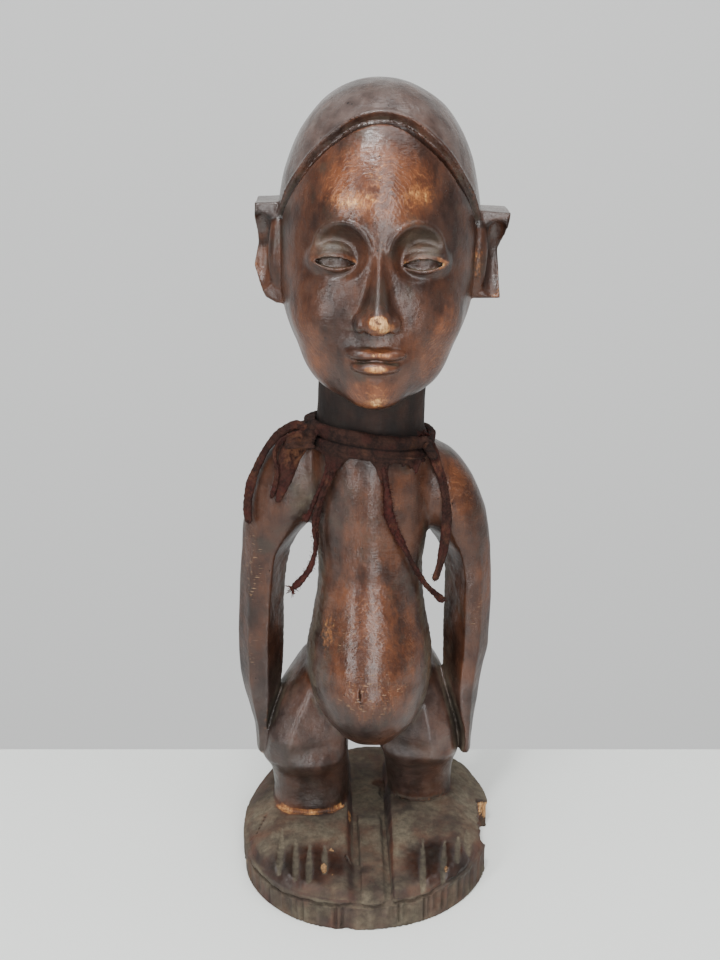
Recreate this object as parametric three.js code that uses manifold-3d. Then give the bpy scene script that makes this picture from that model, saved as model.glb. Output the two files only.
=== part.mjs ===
// A carved wooden power figure standing on its own round base, with a hide collar and hide thongs at the neck.
// Millimetres. +Z is up, -Y is the way the figure faces, +X is its left hand. The origin is under the middle of the base.
import * as THREE from "three";
import { mergeVertices } from "three/addons/utils/BufferGeometryUtils.js";
import Module from "manifold-3d";

// ---- Sizes that drive the figure -------------------------------------------------------------------------------
const TOTAL_H = 360; // crown of the cap above the ground
const BASE = { r: 63, rim: 14.6, terrace: 16.6, inset: 3.4 }; // round base cut in the same wood
const HEAD = { x: 5, y: 3, eye: 290, chin: 228, top: 352, w: 42, f: 42, b: 44 }; // egg of the head
const CAP = { w: 42.7, f: 44.2, b: 48.5, base: 290, lift: 3 }; // smooth cap of hair, proud of the forehead
const NECK = { x: 2, y: 6, r: 23.7 };
const GAP = 0.35; // air between the hide and the wood

const wasm = await Module();
wasm.setup();

// ---- Small helpers ----------------------------------------------------------------------------------------------
function toSolid(geometry) {
  const bare = geometry.index ? geometry.toNonIndexed() : geometry.clone();
  bare.deleteAttribute("normal");
  bare.deleteAttribute("uv");
  const merged = mergeVertices(bare, 1e-4);
  return new wasm.Manifold(
    new wasm.Mesh({
      numProp: 3,
      vertProperties: new Float32Array(merged.attributes.position.array),
      triVerts: new Uint32Array(merged.index.array),
    }),
  );
}

function toMesh(solid, name, material) {
  const m = solid.getMesh();
  const v = new Float32Array(m.numVert * 3);
  for (let i = 0; i < m.numVert; i++) v.set(m.vertProperties.subarray(i * m.numProp, i * m.numProp + 3), i * 3);
  const g = new THREE.BufferGeometry();
  g.setAttribute("position", new THREE.BufferAttribute(v, 3));
  g.setIndex(new THREE.BufferAttribute(m.triVerts, 1));
  g.computeVertexNormals();
  const mesh = new THREE.Mesh(g, material);
  mesh.name = name;
  return mesh;
}

const place = (g, x, y, z, rx = 0, ry = 0, rz = 0) =>
  g.applyMatrix4(
    new THREE.Matrix4().compose(
      new THREE.Vector3(x, y, z),
      new THREE.Quaternion().setFromEuler(new THREE.Euler(rx, ry, rz)),
      new THREE.Vector3(1, 1, 1),
    ),
  );

const ball = (x, y, z, rx, ry, rz, seg = 14) =>
  toSolid(place(new THREE.SphereGeometry(1, seg, Math.round(seg * 0.7)).scale(rx, ry, rz), x, y, z));

const block = (w, d, h, x, y, z, rx = 0, ry = 0, rz = 0) =>
  toSolid(place(new THREE.BoxGeometry(w, d, h), x, y, z, rx, ry, rz));

// Value of a smooth curve through (z, value) pairs, with no overshoot between them.
function smooth(table, z, key) {
  const n = table.length;
  if (z <= table[0].z) return table[0][key];
  if (z >= table[n - 1].z) return table[n - 1][key];
  let i = 0;
  while (z > table[i + 1].z) i++;
  const slope = (k) => {
    if (k <= 0 || k >= n - 1) return 0;
    const a = (table[k][key] - table[k - 1][key]) / (table[k].z - table[k - 1].z);
    const b = (table[k + 1][key] - table[k][key]) / (table[k + 1].z - table[k].z);
    return a * b <= 0 ? 0 : (2 * a * b) / (a + b);
  };
  const h = table[i + 1].z - table[i].z,
    t = (z - table[i].z) / h;
  const a = table[i][key],
    b = table[i + 1][key],
    ma = slope(i) * h,
    mb = slope(i + 1) * h;
  return (
    a * (1 + 2 * t) * (1 - t) ** 2 + ma * t * (1 - t) ** 2 + b * t * t * (3 - 2 * t) + mb * t * t * (t - 1)
  );
}

// A station is [z, x, y, half width, depth in front, depth behind, squareness].
const KEYS = ["z", "x", "y", "w", "f", "b", "n"];
const table = (rows) =>
  rows.map((r) => Object.fromEntries(KEYS.map((k, i) => [k, r[i] === undefined ? 2 : r[i]])));

function ringPoint(s, angle, grow, out) {
  const c = Math.cos(angle),
    q = Math.sin(angle),
    p = 2 / s.n;
  return out.set(
    s.x + (s.w + grow) * Math.sign(c) * Math.abs(c) ** p,
    s.y + ((q < 0 ? s.f : s.b) + grow) * Math.sign(q) * Math.abs(q) ** p,
    s.z,
  );
}

// A closed solid whose sections lie across Z, with a flat or pointed end at each side.
function loft(rows, seg, heights, grow = 0) {
  const t = table(rows);
  const zs = heights || t.map((s) => s.z);
  const pos = [],
    idx = [],
    v = new THREE.Vector3();
  const at = (z) => Object.fromEntries(KEYS.map((k) => [k, k === "z" ? z : smooth(t, z, k)]));
  zs.forEach((z, r) => {
    const s = at(z);
    if (r === 0) s.z -= grow;
    if (r === zs.length - 1) s.z += grow;
    for (let k = 0; k < seg; k++) {
      ringPoint(s, (2 * Math.PI * k) / seg, grow, v);
      pos.push(v.x, v.y, v.z);
    }
  });
  const R = zs.length;
  for (let r = 0; r < R - 1; r++)
    for (let k = 0; k < seg; k++) {
      const a = r * seg + k,
        b = r * seg + ((k + 1) % seg),
        c = a + seg,
        d = b + seg;
      idx.push(a, b, d, a, d, c);
    }
  for (const [r, up] of [
    [0, false],
    [R - 1, true],
  ]) {
    const s = at(zs[r]);
    const centre = pos.length / 3;
    pos.push(s.x, s.y, s.z + (up ? grow : -grow));
    for (let k = 0; k < seg; k++) {
      const a = r * seg + k,
        b = r * seg + ((k + 1) % seg);
      up ? idx.push(centre, a, b) : idx.push(centre, b, a);
    }
  }
  const g = new THREE.BufferGeometry();
  g.setAttribute("position", new THREE.Float32BufferAttribute(pos, 3));
  g.setIndex(idx);
  return toSolid(g);
}

const between = (a, b, n) => Array.from({ length: n }, (_, i) => a + ((b - a) * i) / (n - 1));
const join = (list) => list.reduce((a, b) => a.add(b));
const cut = (solid, list) => list.reduce((a, b) => a.subtract(b), solid);

// ---- The body's sections ---------------------------------------------------------------------------------------
const TORSO = [
  [63.5, 2.5, -9, 1.5, 1.5, 1.5],
  [65, 2.5, -8, 7.5, 9, 9],
  [68.4, 2.5, -6, 13.5, 17, 15],
  [74, 2.5, -4, 19, 25, 22],
  [81, 2.4, -3, 23.6, 31, 27],
  [89, 2.3, -2, 27, 34.6, 30],
  [99, 2.1, -1, 29.1, 36, 31],
  [106, 2, 0, 29.3, 35.6, 30],
  [114, 1.9, 0, 28.5, 33.2, 28],
  [124, 1.9, 1, 26.7, 30, 25],
  [139, 2.1, 1.5, 24.6, 25.6, 22],
  [150, 2.2, 2, 24.2, 24, 21],
  [163, 2.2, 3, 25.6, 23.8, 21.5],
  [178, 2, 4, 27.8, 24.6, 22.5],
  [192, 2, 5, 28.8, 25.4, 23.5],
  [203, 2, 6, 28, 24.6, 23.5],
  [210, 2, 6, 24.6, 23, 22],
  [214, 2, 6, 16, 16, 15],
];
// Heights at which the sections are drawn.
const TRUNK_Z = [63.5, 66, 71, 78, 88, 100, 114, 130, 150, 172, 194, 205, 210, 214];
const ARM_Z = [55, 66, 82, 104, 132, 150, 160, 172, 186, 197];
const LEG_Z = [14.5, 34, 42.5, 47, 54, 68, 80, 89, 95, 99];
const ARM_R = [
  // the figure's right arm, at -X
  [50.6, -48.6, 3.5, 2.2, 3, 3, 2.4],
  [53, -48.6, 4, 3.4, 5.4, 5, 2.4],
  [58, -48.4, 4.6, 4, 7.6, 7, 2.5],
  [66, -48.2, 5.4, 4.8, 9.6, 9, 2.5],
  [74, -48.4, 6.6, 6.6, 11, 10.6, 2.5],
  [84, -48.9, 8, 9, 12, 12, 2.5],
  [94, -49.1, 9, 10.2, 12.5, 12.4, 2.5],
  [107, -49, 9.5, 10.8, 12.5, 12.5, 2.5],
  [126, -48.2, 9.8, 10.8, 12.2, 12.4, 2.5],
  [141, -47, 9.8, 11, 12.4, 12.6, 2.5],
  [152, -45.6, 9.5, 11.4, 12.8, 13, 2.4],
  [159, -43.6, 9, 12.9, 13.2, 13.4, 2.3],
  [166, -40.7, 8.5, 15, 13.8, 14, 2.2],
  [176, -36.6, 8, 16.9, 14.6, 15, 2.1],
  [187, -33.4, 8, 17.2, 15, 15.6, 2.1],
  [194, -32.2, 8, 16.4, 14.6, 15.6, 2],
  [200, -30.6, 8, 14.8, 13.6, 15, 2],
  [205, -29, 7.8, 12.4, 12, 13.6, 2],
  [209, -27.6, 7.6, 8.6, 9, 10, 2],
  [211.5, -26.4, 7.5, 3.6, 4, 5, 2],
];
const ARM_L = [
  // the figure's left arm, at +X
  [51, 47.6, 3.5, 2.4, 3.4, 3, 2.5],
  [53.4, 47.8, 4, 3, 6, 5.4, 2.5],
  [58, 47.8, 4.6, 3.2, 7.6, 7, 2.5],
  [66, 47.4, 5.6, 4.4, 9.4, 9, 2.5],
  [74, 46.2, 7, 6.8, 11, 10.6, 2.5],
  [84, 45.6, 8.4, 8.9, 11.8, 11.8, 2.5],
  [96, 46.3, 9.4, 10, 12.2, 12.2, 2.5],
  [107, 47.4, 9.8, 11, 12.4, 12.6, 2.5],
  [128, 47.5, 9.8, 11.1, 12.2, 12.6, 2.5],
  [141, 47.2, 9.8, 11.1, 12.4, 12.6, 2.5],
  [152, 45.7, 9.5, 11.9, 12.8, 13, 2.4],
  [159, 43.6, 9, 13.3, 13.2, 13.4, 2.3],
  [166, 41, 8.5, 15.1, 13.8, 14, 2.2],
  [176, 37, 8, 16.7, 14.6, 15, 2.1],
  [187, 32.6, 8, 16.8, 15, 15.6, 2.1],
  [194, 30, 8, 15.4, 14.6, 15.6, 2],
  [200, 27.4, 8, 12.8, 13.4, 14.6, 2],
  [204.5, 24, 8, 8.4, 10.4, 11.6, 2],
  [207, 22, 8, 3, 4, 5, 2],
];
const LEG_R = [
  // short calf, heavy bent knee, thigh rising to the hip
  [14.5, -26.2, 14, 18.2, 21.5, 17, 2.4],
  [24, -26.2, 14, 18.4, 21.2, 17, 2.4],
  [36, -26.6, 13, 18.6, 19.2, 17.5, 2.4],
  [42, -27, 12, 19, 18.2, 19, 2.4],
  [46.5, -28, 10, 20, 19.6, 21.4, 2.3],
  [52, -28.9, 7.4, 21.3, 21.4, 24.4, 2.3],
  [62, -28.6, 7, 21.2, 22.6, 27, 2.2],
  [72, -25.9, 9.5, 20, 22.6, 27, 2.2],
  [80, -23, 12, 18.8, 22, 26, 2.2],
  [84, -21.6, 13.4, 17.6, 21, 25, 2.1],
  [89, -19, 14.2, 15.8, 19, 23, 2],
  [94, -15.5, 14.6, 12.8, 16, 19, 2],
  [99, -11, 14, 6, 7, 8, 2],
];
const LEG_L = [
  [14.5, 26.8, 18, 15.4, 14.6, 16.6, 2.3],
  [24, 26.8, 18, 15.5, 14.8, 16.6, 2.3],
  [36, 26.3, 16.5, 16.5, 15.6, 17, 2.3],
  [44.6, 26.4, 15, 17.4, 16.4, 18, 2.4],
  [48.6, 26.4, 12, 18.8, 19.2, 22, 2.3],
  [55, 25.9, 9, 19.8, 21.4, 25, 2.3],
  [62, 25.4, 9, 19.5, 22, 27, 2.2],
  [70, 24.4, 10.5, 19, 22.4, 27, 2.2],
  [80, 22.4, 13, 18.1, 22, 26, 2.2],
  [84.5, 21.2, 14.2, 17.2, 21, 25, 2.1],
  [90, 19, 15, 15.6, 19, 23, 2],
  [95, 16.4, 15, 13.2, 16, 19, 2],
  [100, 12, 14, 6, 7, 8, 2],
];
const foot = (x, yToe, yInstep, w) => [
  // a wedge from a high instep down to the row of toes
  [13.5, x, -8, w + 0.6, -yToe - 8, 42, 3.2],
  [16.6, x, -8, w, -yToe - 9, 42, 3.2],
  [18.6, x, -8, w - 0.6, -yToe - 13, 41, 3],
  [20.6, x, -6, w - 1.4, -yToe - 24, 39, 2.8],
  [23.2, x, yInstep - 2, w - 2.6, 18, 24 - yInstep + 6, 2.6],
  [25.6, x, yInstep + 6, w - 4.4, 9, 22, 2.4],
];

// ---- Head --------------------------------------------------------------------------------------------------------
// One egg: an upper and a lower half meet at the eye line.
function egg(grow) {
  const rows = [];
  for (const z of [HEAD.chin, HEAD.chin + 1.5, ...between(HEAD.chin + 5, HEAD.eye, 9), ...between(HEAD.eye + 14, HEAD.top, 5)]) {
    const below = z < HEAD.eye;
    const u = below ? (HEAD.eye - z) / (HEAD.eye - HEAD.chin) : (z - HEAD.eye) / (HEAD.top - HEAD.eye);
    const r = (p, e) => Math.max(0.02, (1 - Math.min(1, u) ** p) ** e);
    rows.push([
      z,
      HEAD.x,
      HEAD.y,
      HEAD.w * r(2.2, 0.5) + grow,
      HEAD.f * r(below ? 3 : 2.4, 0.5) + grow,
      HEAD.b * r(below ? 1.7 : 2.4, 0.55) + grow,
      2.1,
    ]);
  }
  return rows;
}
function capRows() {
  const rows = [];
  for (const z of [250, 268, ...between(CAP.base, TOTAL_H - 9, 6), TOTAL_H - 3, TOTAL_H]) {
    const u = Math.max(0, (z - CAP.base) / (TOTAL_H - CAP.base)),
      d = Math.max(0, (CAP.base - z) / 58);
    const r = Math.max(0.03, (1 - u ** 2.5) ** 0.46) * (1 - d * d) ** 0.5;
    rows.push([z, HEAD.x - 0.7 * u, HEAD.y + 1, CAP.w * r, CAP.f * r, CAP.b * r, 2.1]);
  }
  return rows;
}
// The cap's edge, seen from the side: (y, z) from the brow over the ear to the nape.
const HAIRLINE = [
  [-60, 402],
  [-20, 347],
  [2, 309],
  [13, 276],
  [24, 262],
  [60, 256],
];
function hairBlock() {
  const s = new THREE.Shape(HAIRLINE.map(([y, z]) => new THREE.Vector2(y, z)));
  s.lineTo(60, 420);
  s.lineTo(-60, 420);
  const g = new THREE.ExtrudeGeometry(s, { depth: 120, bevelEnabled: false });
  // the shape's x becomes Y and its y becomes Z
  g.applyMatrix4(new THREE.Matrix4().set(0, 0, 1, -60, 1, 0, 0, 0, 0, 1, 0, 0, 0, 0, 0, 1));
  return toSolid(g);
}
function ear(side, out, top, foot) {
  // a deep flange with a flat top, hollowed in front, with a long lobe in the hollow
  const s = new THREE.Shape();
  s.moveTo(-1, foot);
  s.lineTo(12, foot - 1);
  s.quadraticCurveTo(20, foot + 10, 21, 288);
  s.quadraticCurveTo(22, top - 6, 18, top);
  s.lineTo(-1, top);
  const g = new THREE.ExtrudeGeometry(s, { depth: out + 8, bevelEnabled: false, curveSegments: 6 });
  g.applyMatrix4(new THREE.Matrix4().set(0, 0, side, HEAD.x + side * (HEAD.w - 8), 1, 0, 0, 0, 0, 1, 0, 0, 0, 0, 0, 1));
  if (side < 0) {
    // the mirrored placing turns the faces inside out
    const p = g.attributes.position.array;
    for (let i = 0; i < p.length; i += 9)
      for (let k = 0; k < 3; k++) [p[i + 3 + k], p[i + 6 + k]] = [p[i + 6 + k], p[i + 3 + k]];
  }
  const x = HEAD.x + side * HEAD.w;
  return cut(toSolid(g), [
    ball(x + side * (out + 1), -2, 294, 7.5, 9, 13, 12),
    block(14, 40, 60, x + side * (out + 6.2), 8, foot - 8, 0, side * -0.5, 0),
  ]).add(ball(x + side * (out - 5), 5, 284, 5.5, 7.5, 13.5, 12));
}

function headSolid() {
  const skull = loft(egg(0), 24);
  const cap = loft(capRows(), 24).intersect(hairBlock());
  const eyes = [],
    sockets = [],
    slits = [];
  for (const s of [-1, 1]) {
    const x = HEAD.x + s * 17.6;
    sockets.push(ball(x, -44.4, 295.8, 14.2, 15.2, 13.4, 12));
    eyes.push(ball(x, -27.4, 291.6, 11.6, 9.6, 8.6, 12));
    slits.push(ball(x, -38.4, 291.2, 8.8, 3.8, 2.7, 10));
    eyes.push(ball(x, -26.4, 291.2, 10, 8.8, 6.4, 12));
  }
  const nose = loft(
    [
      [264.6, HEAD.x, -34, 3.5, 6, 6],
      [266, HEAD.x, -34, 7.4, 12.4, 8],
      [268.5, HEAD.x, -34, 8.9, 16.4, 8],
      [272, HEAD.x, -34, 8, 16.6, 8],
      [278, HEAD.x, -33.5, 6, 14.6, 8],
      [288, HEAD.x, -32, 4.6, 11.4, 8],
      [303, HEAD.x, -29, 4.4, 9, 4],
      [312, HEAD.x, -27, 5, 7, 4],
    ],
    12,
  );
  const muzzle = ball(HEAD.x, -28.6, 254.4, 17, 12.8, 12.5, 14);
  const lips = [ball(HEAD.x, -39.6, 256.4, 11.6, 5, 2.8, 12), ball(HEAD.x, -39.2, 251, 10.6, 5.4, 3.2, 12)];
  let head = cut(skull.add(muzzle), sockets).add(join(eyes.filter((_, i) => i % 2 === 0)));
  head = cut(head, slits).add(join(eyes.filter((_, i) => i % 2 === 1)));
  head = join([head, nose, ...lips, cap, ear(-1, 10.6, 309, 268.4), ear(1, 13, 306, 269.6)]);
  return head.subtract(block(24, 5, 1, HEAD.x, -45, 253.9));
}

// ---- Base ----------------------------------------------------------------------------------------------------------
// The rim was cut by eye with an adze: its radius swells and shrinks round the circle.
const RIM_WAVES = [
  [1, 1.3, 13],
  [2, 2.58, 134.8],
  [3, 1.11, 113.8],
  [4, 1.18, -162.1],
]; // times round, height in mm, turn in degrees
// It is fullest at the back, and more so toward the figure's left.
const fullBack = (deg) => 5.9 * Math.exp(-(((deg - 88) / (deg < 88 ? 40 : 25)) ** 2));
const rimAt = (a) =>
  RIM_WAVES.reduce((r, [k, h, turn]) => r + h * Math.cos(k * a - (turn * Math.PI) / 180), BASE.r + fullBack((a * 180) / Math.PI));
function baseDisc(inset, z0, z1, bevel) {
  const seg = 46,
    s = new THREE.Shape();
  for (let k = 0; k < seg; k++) {
    const a = (2 * Math.PI * k) / seg,
      r = rimAt(a);
    const x = (r - inset - bevel) * Math.cos(a),
      y = (r - inset - bevel) * Math.sin(a);
    k ? s.lineTo(x, y) : s.moveTo(x, y);
  }
  const g = new THREE.ExtrudeGeometry(s, {
    depth: z1 - z0 - 2 * bevel,
    bevelEnabled: bevel > 0,
    bevelThickness: bevel,
    bevelSize: bevel,
    bevelSegments: 1,
  });
  return toSolid(place(g, 0, 0, z0 + bevel));
}
function baseSolid() {
  const disc = baseDisc(0, 0, BASE.rim, 0.8);
  const terrace = baseDisc(BASE.inset, 4, BASE.terrace, 0.6);
  const ridge = block(9, 57, 6, 2, -33, BASE.terrace + 1.4 - 3);
  // the length of rim broken away at the right, and the flake lost at the left
  return cut(join([disc, terrace, ridge]), [
    block(16, 34, 40, 63.6, -2, 10, 0, 0, 0.04),
    block(10, 14, 12, -63.9, -12, 3, 0, 0, 0.2),
  ]);
}
function rimNicks() {
  // upright chisel strokes along the front of the rim
  const out = [];
  for (let k = 0; k < 13; k++) {
    const a = -Math.PI / 2 + (k - 6) * 0.135 + 0.03 * Math.sin(5 * k);
    const x = rimAt(a) * Math.cos(a),
      y = rimAt(a) * Math.sin(a);
    out.push(block(1.6, 1.3 + 0.5 * Math.sin(3 * k), 9, x, y, 7 + 0.6 * Math.sin(2 * k), 0, 0, a + Math.PI / 2));
  }
  return out;
}
function toeCuts() {
  // four straight cuts make five toes on each foot
  const out = [];
  for (const [x, y, len, turn] of [
    [-38.8, -35, 28, 0.04],
    [-32.2, -39, 28, 0.03],
    [-25.8, -40, 26, 0.02],
    [-18.6, -38.6, 20, 0],
    [25.4, -40.6, 28, -0.05],
    [35.8, -36, 22, -0.06],
    [42.6, -30, 18, -0.08],
    [47.4, -24, 14, -0.1],
  ])
    out.push(block(2.1, len, 5, x, y, 20.4, 0.11, 0, turn));
  return out;
}

// ---- The carved figure, one piece of wood ---------------------------------------------------------------------------
function neckAndTrunk(grow) {
  return join([
    loft(TORSO, 22, TRUNK_Z, grow),
    loft(
      [
        [200, NECK.x, NECK.y, NECK.r + 1.6, NECK.r + 0.4, NECK.r],
        [212, NECK.x, NECK.y, NECK.r + 0.4, NECK.r, NECK.r],
        [226, NECK.x + 0.6, NECK.y + 0.4, NECK.r - 0.2, NECK.r - 0.4, NECK.r],
        [250, NECK.x + 2, NECK.y + 1, NECK.r + 0.6, NECK.r, NECK.r + 2],
      ],
      24,
      null,
      grow,
    ),
    loft(ARM_R, 13, [50.6, ...ARM_Z, 204.5, 209, 211.5], grow),
    loft(ARM_L, 13, [51, ...ARM_Z, 203.5, 207], grow),
  ]);
}
const trunk = neckAndTrunk(0);
const legs = join([loft(LEG_R, 18, LEG_Z), loft(LEG_L, 18, LEG_Z), ball(-16, 20, 83, 18, 22, 18, 12), ball(19, 20, 83, 18, 22, 18, 12)]);
const feet = join([loft(foot(-27, -57.5, 0, 20.2), 17), loft(foot(30, -55, 6, 19.6), 17)]);
const base = baseSolid();
const figure = cut(join([base, feet, legs, trunk, headSolid()]), [...rimNicks(), ...toeCuts()]);

// ---- The hide collar: a rolled edge wound round the neck, a band below it and a lappet over the right shoulder -----
const HIDE = { thick: 1.9, roll: 6.2, ringR: 29.2, ringZ: 211, tilt: 7, lean: -6.2 }; // tilt and lean in degrees
function roll() {
  // the rolled edge: a fat ring on the neck, lower at the left shoulder and at the nape
  const h = HIDE.roll / 2,
    rows = [];
  for (const a of between(-Math.PI / 2, Math.PI / 2, 7)) {
    const w = HIDE.ringR - h + h * Math.cos(a);
    rows.push([HIDE.ringZ + h * Math.sin(a), 1.6, 6, w, w - 0.4, w - 1.2]);
  }
  const g = loft(rows, 26);
  return g.translate([-1.6, -6, -HIDE.ringZ]).rotate([HIDE.lean, HIDE.tilt, 0]).translate([1.6, 6, HIDE.ringZ]);
}
function hideOutline() {
  // seen from the front: the band's lower edge has an arch in the middle, a ragged flap at its right, and the roots
  // of the thongs; the lappet runs down to the left over the shoulder
  const s = new THREE.Shape();
  s.moveTo(-29, 217);
  s.quadraticCurveTo(-36, 210, -38.6, 198);
  s.quadraticCurveTo(-38, 190, -40.2, 182.4);
  s.lineTo(-36.8, 182.2);
  s.quadraticCurveTo(-32, 190, -30.2, 199.6);
  s.quadraticCurveTo(-27.5, 206, -22.1, 210.2);
  s.lineTo(-20.2, 211.2);
  s.quadraticCurveTo(-17.6, 209, -16.6, 203.4);
  s.lineTo(-12.2, 203.4);
  s.quadraticCurveTo(-10, 208.2, -4.6, 208.4);
  s.quadraticCurveTo(1.6, 208.2, 4.2, 202.4);
  s.lineTo(8.2, 202.2);
  s.quadraticCurveTo(9.6, 205, 12.8, 204.8);
  s.lineTo(16, 202);
  s.lineTo(19, 200.6);
  s.lineTo(21.2, 199);
  s.lineTo(23.4, 205);
  s.lineTo(30, 206);
  s.lineTo(30.5, 217);
  const g = new THREE.ExtrudeGeometry(s, { depth: 34, bevelEnabled: false, curveSegments: 3 });
  return toSolid(place(g, 0, 0, 0, Math.PI / 2, 0, 0).translate(0, 3, 0));
}
const collar = join([hideOutline().intersect(neckAndTrunk(GAP + HIDE.thick)), roll()])
  .subtract(neckAndTrunk(GAP))
  .decompose()
  .sort((a, b) => b.volume() - a.volume())[0];

// ---- The thongs: a tube along each one's route ------------------------------------------------------------------------
// They leave the collar's lower edge, lie against the wood where it is behind them, and hang clear of it below.
const ROUTES = {
  thong_1: { d: 3.8, at: [[-28.2, -3.4, 215.2], [-32.2, -1.5, 214.9], [-36.7, -1, 212.2], [-41.1, -0.5, 207.7], [-45.7, -0.5, 199.9], [-49.8, 0.1, 190.7], [-52, -0.3, 182.6], [-52.5, -1.5, 175.4], [-51.8, -3.5, 170.4]] },
  thong_2: { d: 2.2, at: [[-30.3, -2.6, 211.9], [-33.8, -3.2, 209.8], [-37.2, -4.6, 206.3], [-39.3, -5.4, 202], [-39.2, -8, 197.8], [-38.6, -9.2, 193], [-40, -9.4, 188.5], [-42.2, -7, 183.4]] },
  thong_3: { d: 2.6, at: [[-16.8, -14.8, 201], [-16.9, -15.4, 197.4], [-18.4, -14.9, 192.1], [-20.9, -12.8, 184.4], [-24, -9, 176.6], [-27, -9.2, 173.4]] },
  thong_4: { d: 3.4, at: [[-11.8, -18.2, 201.1], [-13.4, -18.2, 197], [-15.7, -17.4, 188.6], [-19.1, -14.8, 179.8], [-21.2, -12.6, 173.3], [-21.7, -11.8, 168.8], [-21.6, -12.2, 164.3], [-22.9, -12.8, 158.2], [-25.6, -12.8, 151.7], [-30.2, -12.2, 146.6], [-33.8, -11.8, 144]] },
  thong_5: { d: 3.8, at: [[7, -21.4, 198.6], [8.3, -21.9, 192.5], [9.6, -21.9, 186.1], [11.1, -21.5, 179.3], [14.3, -20.5, 171.8], [17.8, -19, 164.6], [21.8, -16, 156.3], [26.3, -12, 148], [30.9, -8, 140.1], [35.2, -4.2, 134]] },
  thong_6: { d: 4.6, at: [[29.6, -6.8, 201.9], [32.4, -8.6, 196.6], [34.8, -9.3, 189.4], [35.7, -9.5, 181.5], [35.9, -10.2, 173.5], [35.3, -11, 165.3], [33.9, -11.6, 157.9], [32, -12.6, 150.6], [30.5, -13.4, 145.7]] },
};
function thong({ d, at }) {
  const path = new THREE.CatmullRomCurve3(at.map((p) => new THREE.Vector3(...p)), false, "centripetal");
  const ring = new THREE.Shape();
  for (let k = 0; k < 8; k++) {
    const a = (Math.PI * 2 * k) / 8 + Math.PI / 8;
    k ? ring.lineTo((d / 2) * Math.cos(a), (d / 2) * Math.sin(a)) : ring.moveTo((d / 2) * Math.cos(a), (d / 2) * Math.sin(a));
  }
  const steps = Math.max(6, Math.round(path.getLength() / (2.2 * d)));
  return toSolid(new THREE.ExtrudeGeometry(ring, { extrudePath: path, steps, bevelEnabled: false }));
}

// ---- The scene graph -------------------------------------------------------------------------------------------------
const wood = new THREE.MeshStandardMaterial({ color: 0x4a2c1c, roughness: 0.45, metalness: 0 });
const hide = new THREE.MeshStandardMaterial({ color: 0x4c2e26, roughness: 0.9, metalness: 0 });

const group = new THREE.Group();
group.add(toMesh(figure, "figure", wood));
group.add(toMesh(collar, "hide_collar", hide));
for (const name of Object.keys(ROUTES)) group.add(toMesh(thong(ROUTES[name]), name, hide));

export default group;
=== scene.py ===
import math
import time

import bpy
import mathutils
import numpy as np
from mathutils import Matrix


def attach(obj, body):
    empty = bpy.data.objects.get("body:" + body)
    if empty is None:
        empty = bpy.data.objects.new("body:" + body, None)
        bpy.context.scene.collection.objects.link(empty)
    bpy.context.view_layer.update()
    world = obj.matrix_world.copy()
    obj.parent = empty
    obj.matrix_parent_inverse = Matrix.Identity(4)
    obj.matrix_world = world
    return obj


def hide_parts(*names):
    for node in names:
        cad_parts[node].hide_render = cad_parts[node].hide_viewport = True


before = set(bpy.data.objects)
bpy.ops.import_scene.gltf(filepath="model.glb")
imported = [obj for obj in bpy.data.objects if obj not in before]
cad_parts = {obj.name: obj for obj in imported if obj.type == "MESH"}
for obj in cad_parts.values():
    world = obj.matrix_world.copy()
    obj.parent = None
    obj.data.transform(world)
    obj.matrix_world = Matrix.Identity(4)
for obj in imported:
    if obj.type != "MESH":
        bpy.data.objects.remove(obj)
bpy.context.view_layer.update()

T0 = time.time()


def note(what):
    print(f"[{time.time() - T0:6.1f} s] {what}")


# ======================================================================================================================
# 1. A distance field for the carving. Millimetres; negative inside the wood.
# ======================================================================================================================
STEP = 0.8
f32 = np.float32


class Field:
    def __init__(self, lo, hi, h):
        self.lo, self.h = np.array(lo, float), h
        self.n = [int(math.ceil((b - a) / h)) + 1 for a, b in zip(lo, hi)]
        self.ax = [(a + h * np.arange(n)).astype(f32) for a, n in zip(lo, self.n)]
        self.F = np.full(self.n, 12.0, f32)

    def window(self, lo, hi):
        s = []
        for k in range(3):
            a = int(max(0, math.floor((lo[k] - self.lo[k]) / self.h)))
            b = int(min(self.n[k], math.ceil((hi[k] - self.lo[k]) / self.h) + 1))
            s.append(slice(a, b))
        s = tuple(s)
        X = self.ax[0][s[0]][:, None, None]
        Y = self.ax[1][s[1]][None, :, None]
        Z = self.ax[2][s[2]][None, None, :]
        return s, X, Y, Z

    def sample(self, P):
        """Trilinear value at points (N, 3)."""
        q = (P - self.lo) / self.h
        q = np.clip(q, 0, np.array(self.n) - 1.001)
        i = q.astype(np.int32)
        t = (q - i).astype(f32)
        i0, i1, i2 = i[:, 0], i[:, 1], i[:, 2]
        out = 0
        for a in (0, 1):
            wa = t[:, 0] if a else 1 - t[:, 0]
            for b in (0, 1):
                wb = t[:, 1] if b else 1 - t[:, 1]
                for c in (0, 1):
                    wc = t[:, 2] if c else 1 - t[:, 2]
                    out = out + wa * wb * wc * self.F[i0 + a, i1 + b, i2 + c]
        return out

    def gradient(self, P, e=None):
        e = e or self.h
        g = np.empty((len(P), 3), f32)
        for k in range(3):
            d = np.zeros(3)
            d[k] = e
            g[:, k] = (self.sample(P + d) - self.sample(P - d)) / (2 * e)
        return g


def smin(a, b, k):
    """Smooth union with a fillet of about k."""
    if k <= 0:
        return np.minimum(a, b)
    h = np.clip(0.5 + 0.5 * (b - a) / k, 0, 1)
    return b + (a - b) * h - k * h * (1 - h)


def smax(a, b, k):
    return -smin(-a, -b, k)


def rows_of(rows):
    return np.array([list(r) + [2.0] * (7 - len(r)) for r in rows], float)


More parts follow.
